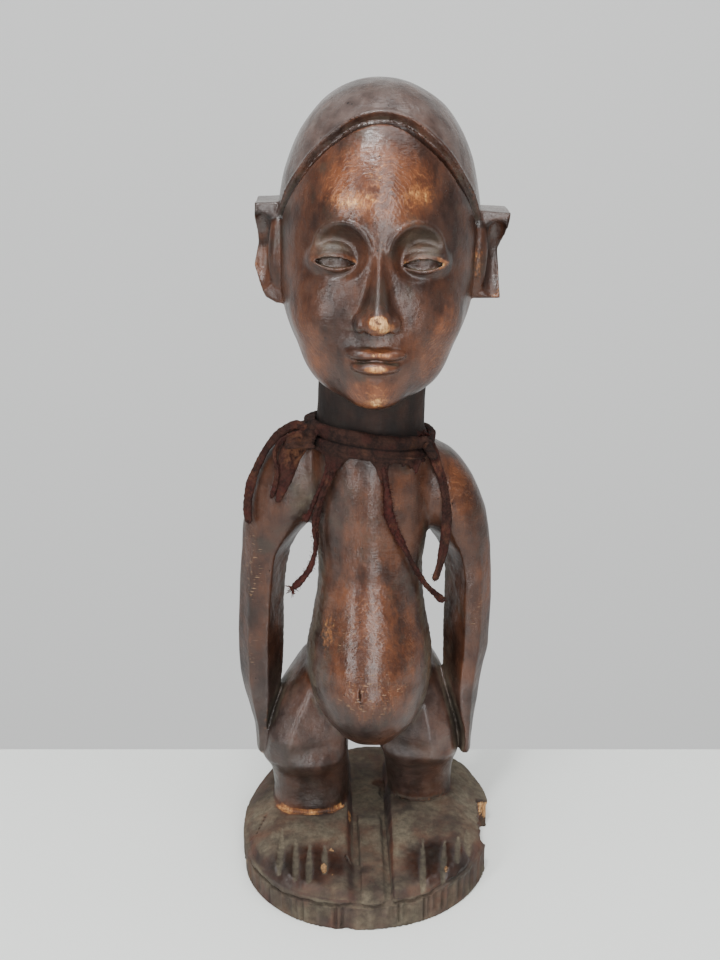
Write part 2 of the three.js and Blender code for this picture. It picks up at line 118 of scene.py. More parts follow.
def monotone(t, z):
    """Every column of t against its first column, at z, smooth and without overshoot."""
    x, v = t[:, 0], t[:, 1:]
    d = np.diff(v, axis=0) / np.diff(x)[:, None]
    m = np.zeros_like(v)
    a, b = d[:-1], d[1:]
    with np.errstate(divide="ignore", invalid="ignore"):
        m[1:-1] = np.where(a * b > 0, 2 * a * b / (a + b), 0)
    z = np.clip(z, x[0], x[-1])
    i = np.clip(np.searchsorted(x, z) - 1, 0, len(x) - 2)
    h = (x[i + 1] - x[i])[:, None]
    s = ((z - x[i])[:, None]) / h
    return (
        v[i] * (1 + 2 * s) * (1 - s) ** 2
        + m[i] * h * s * (1 - s) ** 2
        + v[i + 1] * s * s * (3 - 2 * s)
        + m[i + 1] * h * s * s * (s - 1)
    )


def loft_field(rows, X, Y, Z, turn=None, cuts=()):
    """Distance to a stack of rounded sections. turn: a turn of each section about Z, in degrees. cuts: flats planed on
    the sections, each (direction in degrees, a point u, v of the unit section that it passes through, softness)."""
    t = rows_of(rows)
    z = Z.reshape(-1).astype(float)
    c = monotone(t, z).astype(f32)
    x0, y0, w, f, b, n = (c[:, k][None, None, :] for k in range(6))
    dx, dy = X - x0, Y - y0
    if turn:
        ca, sa = f32(math.cos(math.radians(turn))), f32(math.sin(math.radians(turn)))
        dx, dy = dx * ca + dy * sa, -dx * sa + dy * ca
    else:
        dx, dy = np.broadcast_arrays(dx, dy)
    ry = np.where(dy < 0, f, b)
    u, v = np.abs(dx) / w, np.abs(dy) / ry
    rho = np.maximum((u**n + v**n) ** (1 / n), 1e-3)
    gx = (u / rho) ** (n - 1) / w
    gy = (v / rho) ** (n - 1) / ry
    h = float(z[1] - z[0])
    if cuts:
        us, vs = dx / w, dy / ry
        for deg, pu, pv, soft in cuts:
            ca, sa = math.cos(math.radians(deg)), math.sin(math.radians(deg))
            g = (us * f32(ca) + vs * f32(sa)) / f32(ca * pu + sa * pv)
            rho = smax(rho, g, f32(soft))
        gx, gy = np.gradient(rho, h, axis=(0, 1))
    gz = np.gradient(rho, h, axis=2)
    d = (rho - 1) / np.sqrt(gx * gx + gy * gy + gz * gz + 1e-8)
    return np.maximum(d, np.maximum(Z - f32(t[-1, 0]), f32(t[0, 0]) - Z)).astype(f32)


def rows_box(rows, pad, turn=None):
    t = rows_of(rows)
    w = t[:, 3].max() if not turn else max(t[:, 3].max(), t[:, 4].max(), t[:, 5].max())
    fr = t[:, 4] if not turn else np.maximum(t[:, 3], t[:, 4])
    bk = t[:, 5] if not turn else np.maximum(t[:, 3], t[:, 5])
    wx = t[:, 3] if not turn else w
    return (
        [(t[:, 1] - wx).min() - pad, (t[:, 2] - fr).min() - pad, t[0, 0] - pad],
        [(t[:, 1] + wx).max() + pad, (t[:, 2] + bk).max() + pad, t[-1, 0] + pad],
    )


def add_loft(G, rows, k=0.0, turn=None, pad=10, cuts=()):
    s, X, Y, Z = G.window(*rows_box(rows, pad, turn))
    d = loft_field(rows, X, Y, Z, turn, cuts)
    G.F[s] = smin(G.F[s], d, k)


def ellipsoid(X, Y, Z, c, r):
    u, v, w = (X - f32(c[0])) / f32(r[0]), (Y - f32(c[1])) / f32(r[1]), (Z - f32(c[2])) / f32(r[2])
    q = np.sqrt(u * u + v * v + w * w)
    g = np.sqrt((u / f32(r[0])) ** 2 + (v / f32(r[1])) ** 2 + (w / f32(r[2])) ** 2)
    return (q * (q - 1) / np.maximum(g, 1e-6)).astype(f32)


# ---- noise --------------------------------------------------------------------------------------------------------------
def lattice(seed, n=32):
    return np.random.RandomState(seed).rand(n, n, n).astype(f32) * 2 - 1


def noise(P, size, seed):
    """Smooth value noise in -1..1 at points (N, 3). size is one cell's edge in mm, or three."""
    L = lattice(seed)
    q = P / np.array(size, f32) + 100.0
    i = np.floor(q).astype(np.int32)
    t = (q - i).astype(f32)
    t = t * t * (3 - 2 * t)
    i &= 31
    j = (i + 1) & 31
    out = 0
    for a in (0, 1):
        ia, wa = (j if a else i)[:, 0], t[:, 0] if a else 1 - t[:, 0]
        for b in (0, 1):
            ib, wb = (j if b else i)[:, 1], t[:, 1] if b else 1 - t[:, 1]
            for c in (0, 1):
                ic, wc = (j if c else i)[:, 2], t[:, 2] if c else 1 - t[:, 2]
                out = out + wa * wb * wc * L[ia, ib, ic]
    return out


def scallops(P, size, seed):
    """Shallow scoops that meet in ridges, 0 on a ridge and 1 at a scoop's bottom. size as above."""
    R = np.random.RandomState(seed).rand(16, 16, 16, 3).astype(f32)
    q = (P / np.array(size, f32) + 64.0).astype(f32)
    i = np.floor(q).astype(np.int32)
    best = np.full(len(P), 9.0, f32)
    for a in (-1, 0, 1):
        for b in (-1, 0, 1):
            for c in (-1, 0, 1):
                j = i + np.array([a, b, c])
                r = R[j[:, 0] & 15, j[:, 1] & 15, j[:, 2] & 15]
                d = ((q - j - r) ** 2).sum(1)
                best = np.minimum(best, d)
    return np.clip(1 - best, 0, 1)


# ======================================================================================================================
# 2. The figure's sections. The same stations carry the CAD model.
# ======================================================================================================================
TORSO = [
    [63.5, 2.5, -9, 1.5, 1.5, 1.5, 2],
    [65, 2.5, -8, 7.5, 9, 9, 2],
    [68.4, 2.5, -6, 13.5, 17, 15, 2],
    [74, 2.5, -4, 19, 25, 22, 2],
    [81, 2.4, -3, 23.6, 31, 27, 2],
    [89, 2.3, -2, 27, 34.6, 30, 2],
    [99, 2.1, -1, 29.1, 36, 31, 2],
    [106, 2, 0, 29.3, 35.6, 30, 2],
    [114, 1.9, 0, 28.5, 33.2, 28, 2],
    [124, 1.9, 1, 26.7, 30, 25, 2],
    [139, 2.1, 1.5, 24.6, 25.6, 22, 2],
    [150, 2.2, 2, 24.2, 24, 21, 1.95],
    [163, 2.2, 3, 25.6, 24.2, 21.5, 1.85],
    [178, 2, 4, 27.8, 25.6, 22.5, 1.75],
    [192, 2, 5, 28.8, 26.4, 23.5, 1.75],
    [203, 2, 6, 28, 25.2, 23.5, 1.85],
    [210, 2, 6, 24.6, 23, 22, 2],
    [214, 2, 6, 16, 16, 15, 2],
]
ARM_R = [
    [50.6, -48.6, 3.5, 2.2, 3, 3, 2.4],
    [53, -48.6, 4, 3.4, 5.4, 5, 2.4],
    [58, -48.4, 4.6, 4, 7.6, 7, 2.6],
    [66, -48.2, 5.4, 4.8, 9.6, 9, 2.8],
    [74, -48.4, 6.6, 6.6, 11, 10.6, 3],
    [84, -48.9, 8, 9, 12, 12, 3],
    [94, -49.1, 9, 10.2, 12.5, 12.4, 3],
    [107, -49, 9.5, 10.8, 12.5, 12.5, 3],
    [126, -48.2, 9.8, 10.8, 12.2, 12.4, 3],
    [141, -47, 9.8, 11, 12.4, 12.6, 2.8],
    [152, -45.6, 9.5, 11.4, 12.8, 13, 2.6],
    [159, -43.6, 9, 12.9, 13.2, 13.4, 2.4],
    [166, -40.7, 8.5, 15, 13.8, 14, 2.2],
    [176, -36.6, 8, 16.9, 14.6, 15, 2.1],
    [187, -33.4, 8, 17.2, 15, 15.6, 2.1],
    [194, -32.2, 8, 16.4, 14.6, 15.6, 2],
    [200, -30.6, 8, 14.8, 13.6, 15, 2],
    [205, -29, 7.8, 12.4, 12, 13.6, 2],
    [209, -27.6, 7.6, 8.6, 9, 10, 2],
    [211.5, -26.4, 7.5, 3.6, 4, 5, 2],
]
ARM_L = [
    [51, 47.6, 3.5, 2.4, 3.4, 3, 2.5],
    [53.4, 47.8, 4, 3, 6, 5.4, 2.5],
    [58, 47.8, 4.6, 3.2, 7.6, 7, 2.6],
    [66, 47.4, 5.6, 4.4, 9.4, 9, 2.8],
    [74, 46.2, 7, 6.8, 11, 10.6, 3],
    [84, 45.6, 8.4, 8.9, 11.8, 11.8, 3],
    [96, 46.3, 9.4, 10, 12.2, 12.2, 3],
    [107, 47.4, 9.8, 11, 12.4, 12.6, 3],
    [128, 47.5, 9.8, 11.1, 12.2, 12.6, 3],
    [141, 47.2, 9.8, 11.1, 12.4, 12.6, 2.8],
    [152, 45.7, 9.5, 11.9, 12.8, 13, 2.6],
    [159, 43.6, 9, 13.3, 13.2, 13.4, 2.4],
    [166, 41, 8.5, 15.1, 13.8, 14, 2.2],
    [176, 37, 8, 16.7, 14.6, 15, 2.1],
    [187, 32.6, 8, 16.8, 15, 15.6, 2.1],
    [194, 30, 8, 15.4, 14.6, 15.6, 2],
    [200, 27.4, 8, 12.8, 13.4, 14.6, 2],
    [204.5, 24, 8, 8.4, 10.4, 11.6, 2],
    [207, 22, 8, 3, 4, 5, 2],
]
LEG_R = [
    [14.5, -26.2, 14, 18.2, 21.5, 17, 2.4],
    [24, -26.2, 14, 18.4, 21.2, 17, 2.4],
    [36, -26.6, 12.6, 18.7, 19.4, 17.5, 2.4],
    [42, -27.0, 11.6, 19.3, 19.2, 19, 2.4],
    [46.5, -28, 9.8, 20, 20.0, 21.4, 2.3],
    [52, -28.9, 7.4, 21.1, 21.1, 24.4, 2.3],
    [62, -28.6, 7, 21.2, 22.6, 27, 2.2],
    [72, -25.9, 9.5, 20, 22.6, 27, 2.2],
    [80, -23, 12, 18.8, 22, 26, 2.2],
    [84, -21.6, 13.4, 17.6, 21, 25, 2.1],
    [89, -19, 14.2, 15.8, 19, 23, 2],
    [94, -15.5, 14.6, 12.8, 16, 19, 2],
    [99, -11, 14, 6, 7, 8, 2],
]
LEG_L = [
    [14.5, 26.8, 18, 15.4, 14.6, 16.6, 2.3],
    [24, 26.8, 18, 15.5, 14.8, 16.6, 2.3],
    [36, 26.3, 16.5, 16.5, 15.6, 17, 2.3],
    [44.6, 26.4, 14, 17.7, 17.0, 18.6, 2.4],
    [48.6, 26.4, 12, 18.7, 18.7, 21.6, 2.3],
    [55, 25.9, 9, 19.8, 21.4, 25, 2.3],
    [62, 25.4, 9, 19.5, 22, 27, 2.2],
    [70, 24.4, 10.5, 19, 22.4, 27, 2.2],
    [80, 22.4, 13, 18.1, 22, 26, 2.2],
    [84.5, 21.2, 14.2, 17.2, 21, 25, 2.1],
    [90, 19, 15, 15.6, 19, 23, 2],
    [95, 16.4, 15, 13.2, 16, 19, 2],
    [100, 12, 14, 6, 7, 8, 2],
]
NECK = [
    [200, 2, 6, 25.3, 24.1, 23.7, 2],
    [212, 2, 6, 24.1, 23.7, 23.7, 2],
    [226, 2.6, 6.4, 23.5, 23.3, 23.7, 2],
    [252, 4, 7, 24.3, 23.7, 25.7, 2],
]


RIM_WAVES = [(1, 1.3, 13.0), (2, 2.58, 134.8), (3, 1.11, 113.8), (4, 1.18, -162.1)]
RIM = 14.6  # height of the rim's edge


def rim_radius(a):
    deg = np.degrees(a)
    back = 5.9 * np.exp(-(((deg - 88) / np.where(deg < 88, 40.0, 25.0)) ** 2))
    return 63.0 + back + sum(h * np.cos(k * a - math.radians(t)) for k, h, t in RIM_WAVES)


# ---- the head's own frame: it leans a little to the figure's left -------------------------------------------------------
HEAD_X, HEAD_Y, HEAD_Z, LEAN = 5.0, 3.0, 290.0, math.radians(1.6)
EYE, CHIN, CROWN = 290.0, 229.0, 358.6
TOP = 360.0  # of the cap


def to_head(X, Z):
    x, z = X - f32(HEAD_X), Z - f32(HEAD_Z)
    c, s = f32(math.cos(LEAN)), f32(math.sin(LEAN))
    return x * c - z * s, f32(HEAD_Z) + x * s + z * c


def egg_field(X, Y, Z, top, bottom, w, f, b, mid):
    """An egg in the head's frame, as a function that is 1 on its surface. X, Z are already turned."""
    dy = Y - f32(HEAD_Y)
    ahead, behind = np.clip(-dy / f32(f), 0, 1), np.clip(dy / f32(b), 0, 1)
    up = np.clip((Z - mid) / (top - mid), 0, 1.3)
    down = np.clip((mid - Z) / (mid - bottom), 0, 1.3)
    tip = up**2.4 + down ** (2.2 + 1.2 * ahead**2 - 0.5 * behind**2)
    ry = np.where(dy < 0, f32(f), f32(b))
    return (X / f32(w)) ** 2 + (dy / ry) ** 2 + tip


def normalised(v, h):
    """A distance from an implicit function whose surface is at 1."""
    gx, gy, gz = np.gradient(v, h)
    return np.clip((v - 1) / np.maximum(np.sqrt(gx * gx + gy * gy + gz * gz), 0.004), -40, 40).astype(f32)


def loft_at(rows, U, V, W, h):
    """Distance to a stack of rounded sections over arrays that are already turned."""
    t = rows_of(rows)
    c = monotone(t, W.reshape(-1).astype(float)).astype(f32).reshape(W.shape + (6,))
    dx, dy = U - c[..., 0], V - c[..., 1]
    ry = np.where(dy < 0, c[..., 3], c[..., 4])
    n = c[..., 5]
    rho = ((np.abs(dx) / c[..., 2]) ** n + (np.abs(dy) / ry) ** n) ** (1 / n)
    N = normalised(rho, h)
    return np.maximum(N, np.maximum(W - f32(t[-1, 0]), f32(t[0, 0]) - W))


NOSE = [
    [264.6, 0, -34, 3.5, 6, 6, 2],
    [266.0, 0, -34, 7.4, 12.4, 8, 2.3],
    [268.5, 0, -34, 8.9, 15.6, 8, 2.2],
    [272, 0, -34, 8.0, 16.2, 8, 2.0],
    [278, 0, -33.5, 6.0, 14.4, 8, 1.9],
    [286, 0, -32.5, 4.6, 11.8, 8, 1.9],
    [295, 0, -31, 3.9, 9.8, 6, 1.9],
    [303, 0, -29, 4.4, 9.0, 4, 2],
    [312, 0, -27, 6.0, 7.0, 4, 2],
]
EYE_X, EYE_Z, EYE_W = 17.4, 291.2, 9.0


def almond_field(ax, hz, up=2.9, lo=2.3):
    """The opening between the lids: negative inside."""
    q = np.clip(1 - ((ax - EYE_X) / EYE_W) ** 2, -0.6, 1)
    lift = 0.05 * (ax - EYE_X)
    return np.maximum(hz - EYE_Z - lift - up * q, EYE_Z + lift - lo * q - hz) * f32(0.93)


def build_head(G):
    h = G.h
    s, X, Y, Z = G.window([-60, -62, 215], [70, 64, 364])
    hx, hz = to_head(X, Z)
    hx, hz, Yb = (np.ascontiguousarray(q, f32) for q in np.broadcast_arrays(hx, hz, Y))
    ax = np.abs(hx)
    F = normalised(egg_field(hx, Yb, hz, CROWN, CHIN, 41.6, 42.6, 44.0, EYE), h)
    skull = F.copy()
    # cheeks, chin and the form round the mouth
    F = smin(F, ellipsoid(ax, Yb, hz, (16, -20.5, 269.5), (17.5, 16.4, 18.5)), 8)
    F = smin(F, ellipsoid(ax, Yb, hz, (0, -12, 251), (29.5, 24.5, 21.5)), 6)
    F = smin(F, ellipsoid(ax, Yb, hz, (0, -27.0, 240.0), (12.0, 11.6, 9.8)), 7)
    F = smin(F, ellipsoid(ax, Yb, hz, (0, -28.6, 254.4), (17, 12.6, 12.5)), 7)
    # orbits under arched brows, their upper edge crisp
    orbit = ellipsoid(ax, Yb, hz, (EYE_X + 0.4, -44.6, 295.6), (14.0, 15.0, 13.2))
    F = smax(F, -orbit, 0.9)
    # a fine raised band along each brow
    brow = np.sqrt((orbit - 1.1) ** 2 + (F + 0.1) ** 2) - 0.85
    F = smin(F, np.maximum(brow, 296 - hz), 0.9)
    # eyeball, the opening, the rims of the lids and the fold over them
    ball = ellipsoid(ax, Yb, hz, (EYE_X, -27.4, EYE_Z + 0.4), (11.6, 9.4, 8.4))
    F = smin(F, ball, 1.4)
    almond = almond_field(ax, hz)
    rim = np.sqrt(np.abs(almond) ** 2 + ball**2) - 0.85
    F = smin(F, np.maximum(rim, Yb + 18), 0.5)
    slit = np.maximum(almond + 0.35, -ellipsoid(ax, Yb, hz, (EYE_X, -26.2, EYE_Z), (10.6, 9.0, 7.6)))
    F = smax(F, -np.maximum(slit, Yb + 18), 0.4)
    fold = np.sqrt((almond - 2.5) ** 2 + (ball + 0.1) ** 2) - 0.5
    F = smax(F, -np.maximum(fold, np.maximum(np.maximum(EYE_Z + 1.6 - hz, np.abs(ax - EYE_X) - 8), Yb + 18)), 0.35)
    # nose: a straight ridge that widens to the wings
    F = smin(F, loft_at(NOSE, hx, Yb, hz, h), 1.8)
    F = smin(F, ellipsoid(ax, Yb, hz, (0, -46.6, 270.2), (5.4, 4.9, 4.6)), 2.0)
    F = smin(F, ellipsoid(ax, Yb, hz, (6.5, -42.4, 269.0), (3.3, 5.2, 3.9)), 1.0)
    F = smax(F, -ellipsoid(ax, Yb, hz, (3.9, -45.6, 264.8), (1.9, 2.6, 2.0)), 0.5)
    F = smax(F, -ellipsoid(ax, Yb, hz, (0, -46.4, 261.4), (1.5, 4.4, 3.8)), 0.8)
    # lips and the line between them
    F = smin(F, ellipsoid(ax, Yb, hz, (4.2, -39.8, 256.4), (8.0, 5.0, 2.7)), 0.9)
    F = smin(F, ellipsoid(ax, Yb, hz, (0, -39.4, 251.0), (10.0, 5.4, 3.2)), 0.9)
    at = 253.9 + 0.5 * np.cos(hx * 0.5) - 0.004 * hx * hx
    line = np.sqrt((hz - at) ** 2 + ((Yb + 45.2 - 0.03 * hx * hx) * 0.3) ** 2) - 0.8 * np.clip((12.6 - ax) / 4, 0, 1) ** 0.5
    F = smax(F, -line, 0.4)
    F = smax(F, -ellipsoid(ax, Yb, hz, (0, -43.4, 246.2), (7.5, 3.4, 1.9)), 1.0)
    # the cap of hair, proud of the forehead: a thin raised line along its edge and a groove under it
    u = np.clip((hz - 290) / (TOP - 290), 0, 1.3)
    d = np.clip((290 - hz) / 58, 0, 1.3)
    dy = Yb - 4
    flat = (hx / f32(42.7)) ** 2 + (dy / np.where(dy < 0, f32(44.4), f32(48.5))) ** 2
    outer = normalised(flat**1.087 + u**2.5 + d * d, h)
    edge = hairline(hx, Yb, hz)
    cap = smax(outer, edge, 0.5)
    ge, gs = np.gradient(edge, h), np.gradient(skull, h)
    dot = sum(a * b for a, b in zip(ge, gs)) / np.maximum(np.sqrt(sum(a * a for a in ge)) * np.sqrt(sum(a * a for a in gs)), 1e-3)
    along = edge / np.sqrt(np.maximum(1 - dot * dot, 0.06))  # measured over the forehead's surface
    del ge, gs, dot
    reach = 1.9 + 1.1 * step(hx, 0, 25)
    groove = np.maximum(np.abs(along - (reach - 1) / 2) - (reach + 1) / 2, -(skull + 1.4))
    F = smax(F, -np.maximum(groove, 262 - hz), 0.7)
    F = np.minimum(F, cap)
    lip = np.sqrt((edge + 0.5) ** 2 + (outer - 0.02) ** 2) - 0.62
    F = smin(F, np.maximum(lip, 292 - hz), 0.35)
    # ears: deep flanges with a flat top, scooped in front, with a pointed lobe next to the head
    for side, out in ((1, [(34, 272.4), (42.5, 272.6), (51.8, 273.0), (51.6, 280), (51.2, 286), (50.4, 292.4), (52.6, 299), (54.5, 308.8), (46, 309.0), (34, 309.2)]),
                      (-1, [(34, 267.6), (42, 268.2), (46.6, 270.8), (49.4, 276.4), (51.9, 283.2), (50.2, 292.6), (51.6, 303), (51.4, 310.0), (42, 310.6), (34, 310.6)])):
        U = hx * f32(side)
        sl = np.s_[:, :1, :]
        o = outline_field(U[sl], hz[sl], out)
        shell = smax(o + 0.5, np.maximum(Yb - 19, -4.6 - 0.06 * (U - 40) - Yb), 1.4) - 0.4
        scoop = ellipsoid(U, Yb, hz, (48.6, -15.0, 289.6), (8.8, 17.6, 19.0))
        shell = smax(shell, -scoop, 0.7)
        lobe = ellipsoid(U, Yb, hz, (41.4, -1.2, 290.2), (5.2, 7.8, 17.4))
        lobe = smax(lobe, (U - 44.9) * 0.86 + (Yb + 4.6) * 0.5, 0.6)
        F = smin(F, smin(shell, lobe, 0.5), 0.9)
    G.F[s] = smin(G.F[s], F, 2.5)


HAIRLINE = [[236, 130], [254, 70], [262, 26], [276, 13], [292, 4], [303, -3.4], [311, -9.7], [315, -12.5], [323.7, -18.1],
            [330.7, -21.0], [335.7, -22.8], [341.4, -24.2], [347.8, -24.3], [356, -22.6], [380, -17]]


def hairline(X, Y, Z):
    """Negative on the hair's side of the cap's edge: over the brow, down in front of the ear, round to the nape. The
    edge is cut square to the head: a point under the surface counts by where the line from the head's middle leaves it."""
    zz = np.linspace(236, 380, 577)
    yy = monotone(np.array(HAIRLINE, float), zz)[:, 0]
    k = np.sqrt(1 + np.gradient(yy, zz) ** 2)
    dy, dz = Y - 4, Z - 290
    flat = (X / 42.7) ** 2 + (dy / np.where(dy < 0, 44.4, 48.5)) ** 2
    out = (flat**1.087 + np.clip(dz / 70, 0, 1.3) ** 2.5 + np.clip(-dz / 58, 0, 1.3) ** 2) ** 0.46
    out = np.clip(out, 0.5, 1.6)
    z = 290 + dz / out
    return ((np.interp(z, zz, yy) - 4 - dy / out) / np.interp(z, zz, k) * out).astype(f32)


def flat_dist(X, Y, pts):
    """Distance in plan to a broken line, and how far along it (0..1)."""
    best, along = f32(1e9), 0
    for i, ((a, b), (c, e)) in enumerate(zip(pts, pts[1:])):
        ux, uy = c - a, e - b
        t = np.clip(((X - f32(a)) * f32(ux) + (Y - f32(b)) * f32(uy)) / f32(ux * ux + uy * uy), 0, 1)
        d = np.sqrt((X - f32(a) - t * f32(ux)) ** 2 + (Y - f32(b) - t * f32(uy)) ** 2)
        along = np.where(d < best, (i + t) / (len(pts) - 1), along)
        best = np.minimum(best, d)
    return best, along


def toe_width(t):
    """Half-width of a toe's cut: t is 0 at the tip and 1 at the point."""
    return 3.5 * (t + 0.04) ** 0.42 * np.maximum(1 - t, 0) ** 0.7


def toe_mask(P):
    m = np.zeros(len(P), f32)
    for x, y, ln, turn in TOES:
        c, sn = math.cos(turn), math.sin(turn)
        U = (P[:, 0] - x) * c + (P[:, 1] - y) * sn
        W = -(P[:, 0] - x) * sn + (P[:, 1] - y) * c
        t = np.clip(W / ln + 0.5, 0, 1)
        m = np.maximum(m, step(np.abs(U) / np.maximum(toe_width(t), 0.05), 1.1, 0.7) * (t > 0) * (t < 1))
    return m * step(P[:, 2], 14, 15) * step(P[:, 2], 25, 23)


def plan_dist(P, pts):
    best = np.full(len(P), 1e9, f32)
    for (a, b), (c, e) in zip(pts, pts[1:]):
        ux, uy = c - a, e - b
        t = np.clip(((P[:, 0] - a) * ux + (P[:, 1] - b) * uy) / (ux * ux + uy * uy), 0, 1)
        best = np.minimum(best, np.hypot(P[:, 0] - a - t * ux, P[:, 1] - b - t * uy))
    return best


def over(lo, hi, k):
    return -smin(-lo, -hi, k)


def ground(X, Y, out):
    """Height of the base's top over the plan, the feet and the bar between them included."""
    H = 15.7 - 1.3 * step(X, -48, -60) - 1.0 * step(X, 50, 62) - 0.5 * step(Y, 20, 55)
    H = H - 0.9 * np.exp(-(((X - 3.5) / 7.5) ** 2) - ((Y - 14) / 22) ** 2)
    # left foot of the picture: a broad slope on its inner side, a long one on its outer side
    top = 19.0 + 4.3 * step(Y, -56, -4) ** 0.8
    inner = step(X, -4.0 - 0.04 * (Y + 30), -9.5)
    outer = 1 - 0.75 * step(X, -40, -56) - 0.25 * step(X, -52, -60)
    back = step(Y, 60, 40)
    foot = 15.2 + (top - 15.2) * inner * outer * back
    H = over(H, foot.astype(f32), 1.2)
    top = 18.7 + 5.0 * step(Y, -54, 4) ** 0.8
    inner = step(X, 9.4 - 0.02 * (Y + 30), 13.4)
    outer = 1 - 0.8 * step(X, 40, 58)
    foot = 15.2 + (top - 15.2) * inner * outer * step(Y, 60, 42)
    H = over(H, foot.astype(f32), 0.9)
    # the bar in its two tiers and the groove beside it
    x0, x1 = -3.5 + 0.034 * (Y + 2) * -0.9, 7.6 + 0.02 * (Y + 2) * -1
    inside = step(X, x0 - 0.7, x0 + 0.5) * step(X, x1 + 0.9, x1 - 0.9)
    tall = step(Y, -40.6, -39.2) * step(Y, 4, -6)
    tier = 15.7 + (2.9 - 0.06 * (X - x0)) * tall + (1.6 - 0.02 * (Y + 50)) * (1 - tall) * step(Y, -30, -40)
    H = np.where(inside > 0, over(H, (15.2 + (tier - 15.2) * inside).astype(f32), 0.4), H)
    H = H - 1.2 * np.exp(-(((X - 9.9 + 0.03 * (Y + 2)) / 1.6) ** 2)) * step(Y, 6, -4)
    # toes
    for x, y, ln, turn in TOES:
        c, sn = math.cos(turn), math.sin(turn)
        U = (X - f32(x)) * f32(c) + (Y - f32(y)) * f32(sn)
        W = -(X - f32(x)) * f32(sn) + (Y - f32(y)) * f32(c)
        t = np.clip(W / ln + 0.5, 0, 1)  # 0 at the toe's tip, 1 at the cut's point
        wid = toe_width(t)
        dep = 1.5 * np.clip(t * 5 + 0.3, 0, 1) * (1 - t) ** 0.4
        H = H - dep * np.clip(1.08 - np.abs(U) / np.maximum(wid, 0.05), 0, 1) ** 0.7 * (t > 0) * (t < 1)
    # toward the edge
    H = H - 3.3 * step(out, -5.2, 0.3) * step(Y, -5, -30) - 1.4 * step(out, -6, 0) * step(Y, -30, -5)
    return H


def build_base(G):
    s, X, Y, Z = G.window([-70, -72, -3], [74, 76, 30])
    a = np.arctan2(Y, X)
    r = np.sqrt(X * X + Y * Y)
    out = r - rim_radius(a).astype(f32)
    H = ground(X, Y, out)
    gx, gy = np.gradient(H[:, :, 0], G.h)
    slope = np.sqrt(1 + np.minimum(gx * gx + gy * gy, 4))[:, :, None].astype(f32)
    d = smax((Z - H) / slope, out, 1.3)
    d = smax(d, -Z, 0.8)
    G.F[s] = smin(G.F[s], d, 0.4)


TOES = [
    (-38.9, -34, 29, 0.00), (-31.8, -39.4, 27.5, 0.035), (-25.5, -42, 27, 0.01), (-18.5, -40.2, 19.5, 0.03),
    (26.2, -42.6, 32, -0.045), (35.9, -39, 25.5, -0.09), (42.8, -32, 18, -0.12), (47.8, -25, 18.5, -0.05),
]
ANKLES = [
    [(-43.6, 2), (-43, -0.1), (-37, -6.2), (-27.3, -8), (-16.2, -5.9), (-9.8, -1.0), (-7.4, 3)],
    [(14.0, 9.6), (17.6, 4.8), (22.6, 2.6), (31.5, 3.0), (40.8, 9.0)],
]
DECK_CRACK = [(-60, -22), (-56.4, -20.6), (-51.6, -17.3), (-49.7, -10.5), (-47.6, -4.4)]


def rim_line(a):
    """Height of the line cut round the front of the rim, at the angle a in degrees."""
    return 11.4 + 1.2 * step(a, -125, -100) + 3.2 * step(a, -78, -40)


def step(v, lo, hi):
    t = np.clip((v - lo) / (hi - lo), 0, 1)
    return t * t * (3 - 2 * t)


def carve_base(G):
    """Cuts through the base and the feet once they are one."""
    s, X, Y, Z = G.window([-70, -72, -3], [74, 76, 30])
    F = G.F[s]
    a = np.arctan2(Y, X)
    r = np.sqrt(X * X + Y * Y)
    R = rim_radius(a).astype(f32)
    deg = np.degrees(a)
    # the line round the front
    on = step(deg, -158, -150) * step(deg, -22, -27)
    wave = 0.35 * np.sin(deg * 0.31) + 0.25 * np.sin(deg * 0.83 + 1)
    line = np.sqrt(((r - R + 0.2) * 0.55) ** 2 + (Z - rim_line(deg) - wave) ** 2) - 0.8 * on
    F = smax(F, -line, 0.35)
    # the rim broken away at the right, with a raw face at its upper end
    wob = 0.5 * np.sin(Y * 0.9) + 0.3 * np.sin(Y * 2.3 + Z)
    gone = np.maximum(54.9 + 0.035 * Y + wob - X, np.maximum(-19 - 0.06 * (Z - 8) - Y, Y - 14.5 - 0.12 * (X - 56)))
    F = smax(F, -gone, 0.35)
    # a flake off the left
    flake = np.maximum(X + 57.6 + 0.03 * Y, np.maximum(np.abs(Y + 21) - 8.5, Z - 14 - 0.1 * (Y + 20)))
    F = smax(F, -flake, 0.4)
    nick = ellipsoid(X, Y, Z, (-8.6, -65.4, 0), (3.6, 2.4, 3.2))
    F = smax(F, -nick, 0.5)
    # the cracked piece of the deck at the left, sunk a little
    dist, _ = flat_dist(X, Y, DECK_CRACK)
    F = smax(F, -(np.maximum(dist - 0.24, 14.2 - Z)), 0.3)
    # a slanting cut by the left foot's inner edge
    dist, _ = flat_dist(X, Y, [(-8.9, -37), (-3.6, -44.9)])
    F = smax(F, -(np.maximum(dist - 0.7, 17.8 - Z)), 0.4)
    # a ragged hollow in the deck by the inner side of the picture's right leg
    hollow = np.minimum(ellipsoid(X, Y, Z, (8.8, 24.5, 16.2), (1.7, 7.5, 2.4)), ellipsoid(X, Y, Z, (6.6, 31, 15.8), (2.6, 2.6, 2.0)))
    F = smax(F, -(hollow + 0.4 * np.sin(Y * 1.9) * np.sin(X * 2.3 + 1)), 0.3)
    # where each leg meets its foot
    for pts, w in zip(ANKLES, (0.75, 0.45)):
        dist, along = flat_dist(X, Y, pts)
        ww = w * np.sqrt(np.clip(np.sin(math.pi * (0.04 + 0.92 * along)), 0, 1))
        zt = 23.6 - 0.02 * Y
        F = smax(F, -(np.sqrt(dist**2 + (Z - zt) ** 2) - 1.25 * ww), 0.3)
    G.F[s] = F


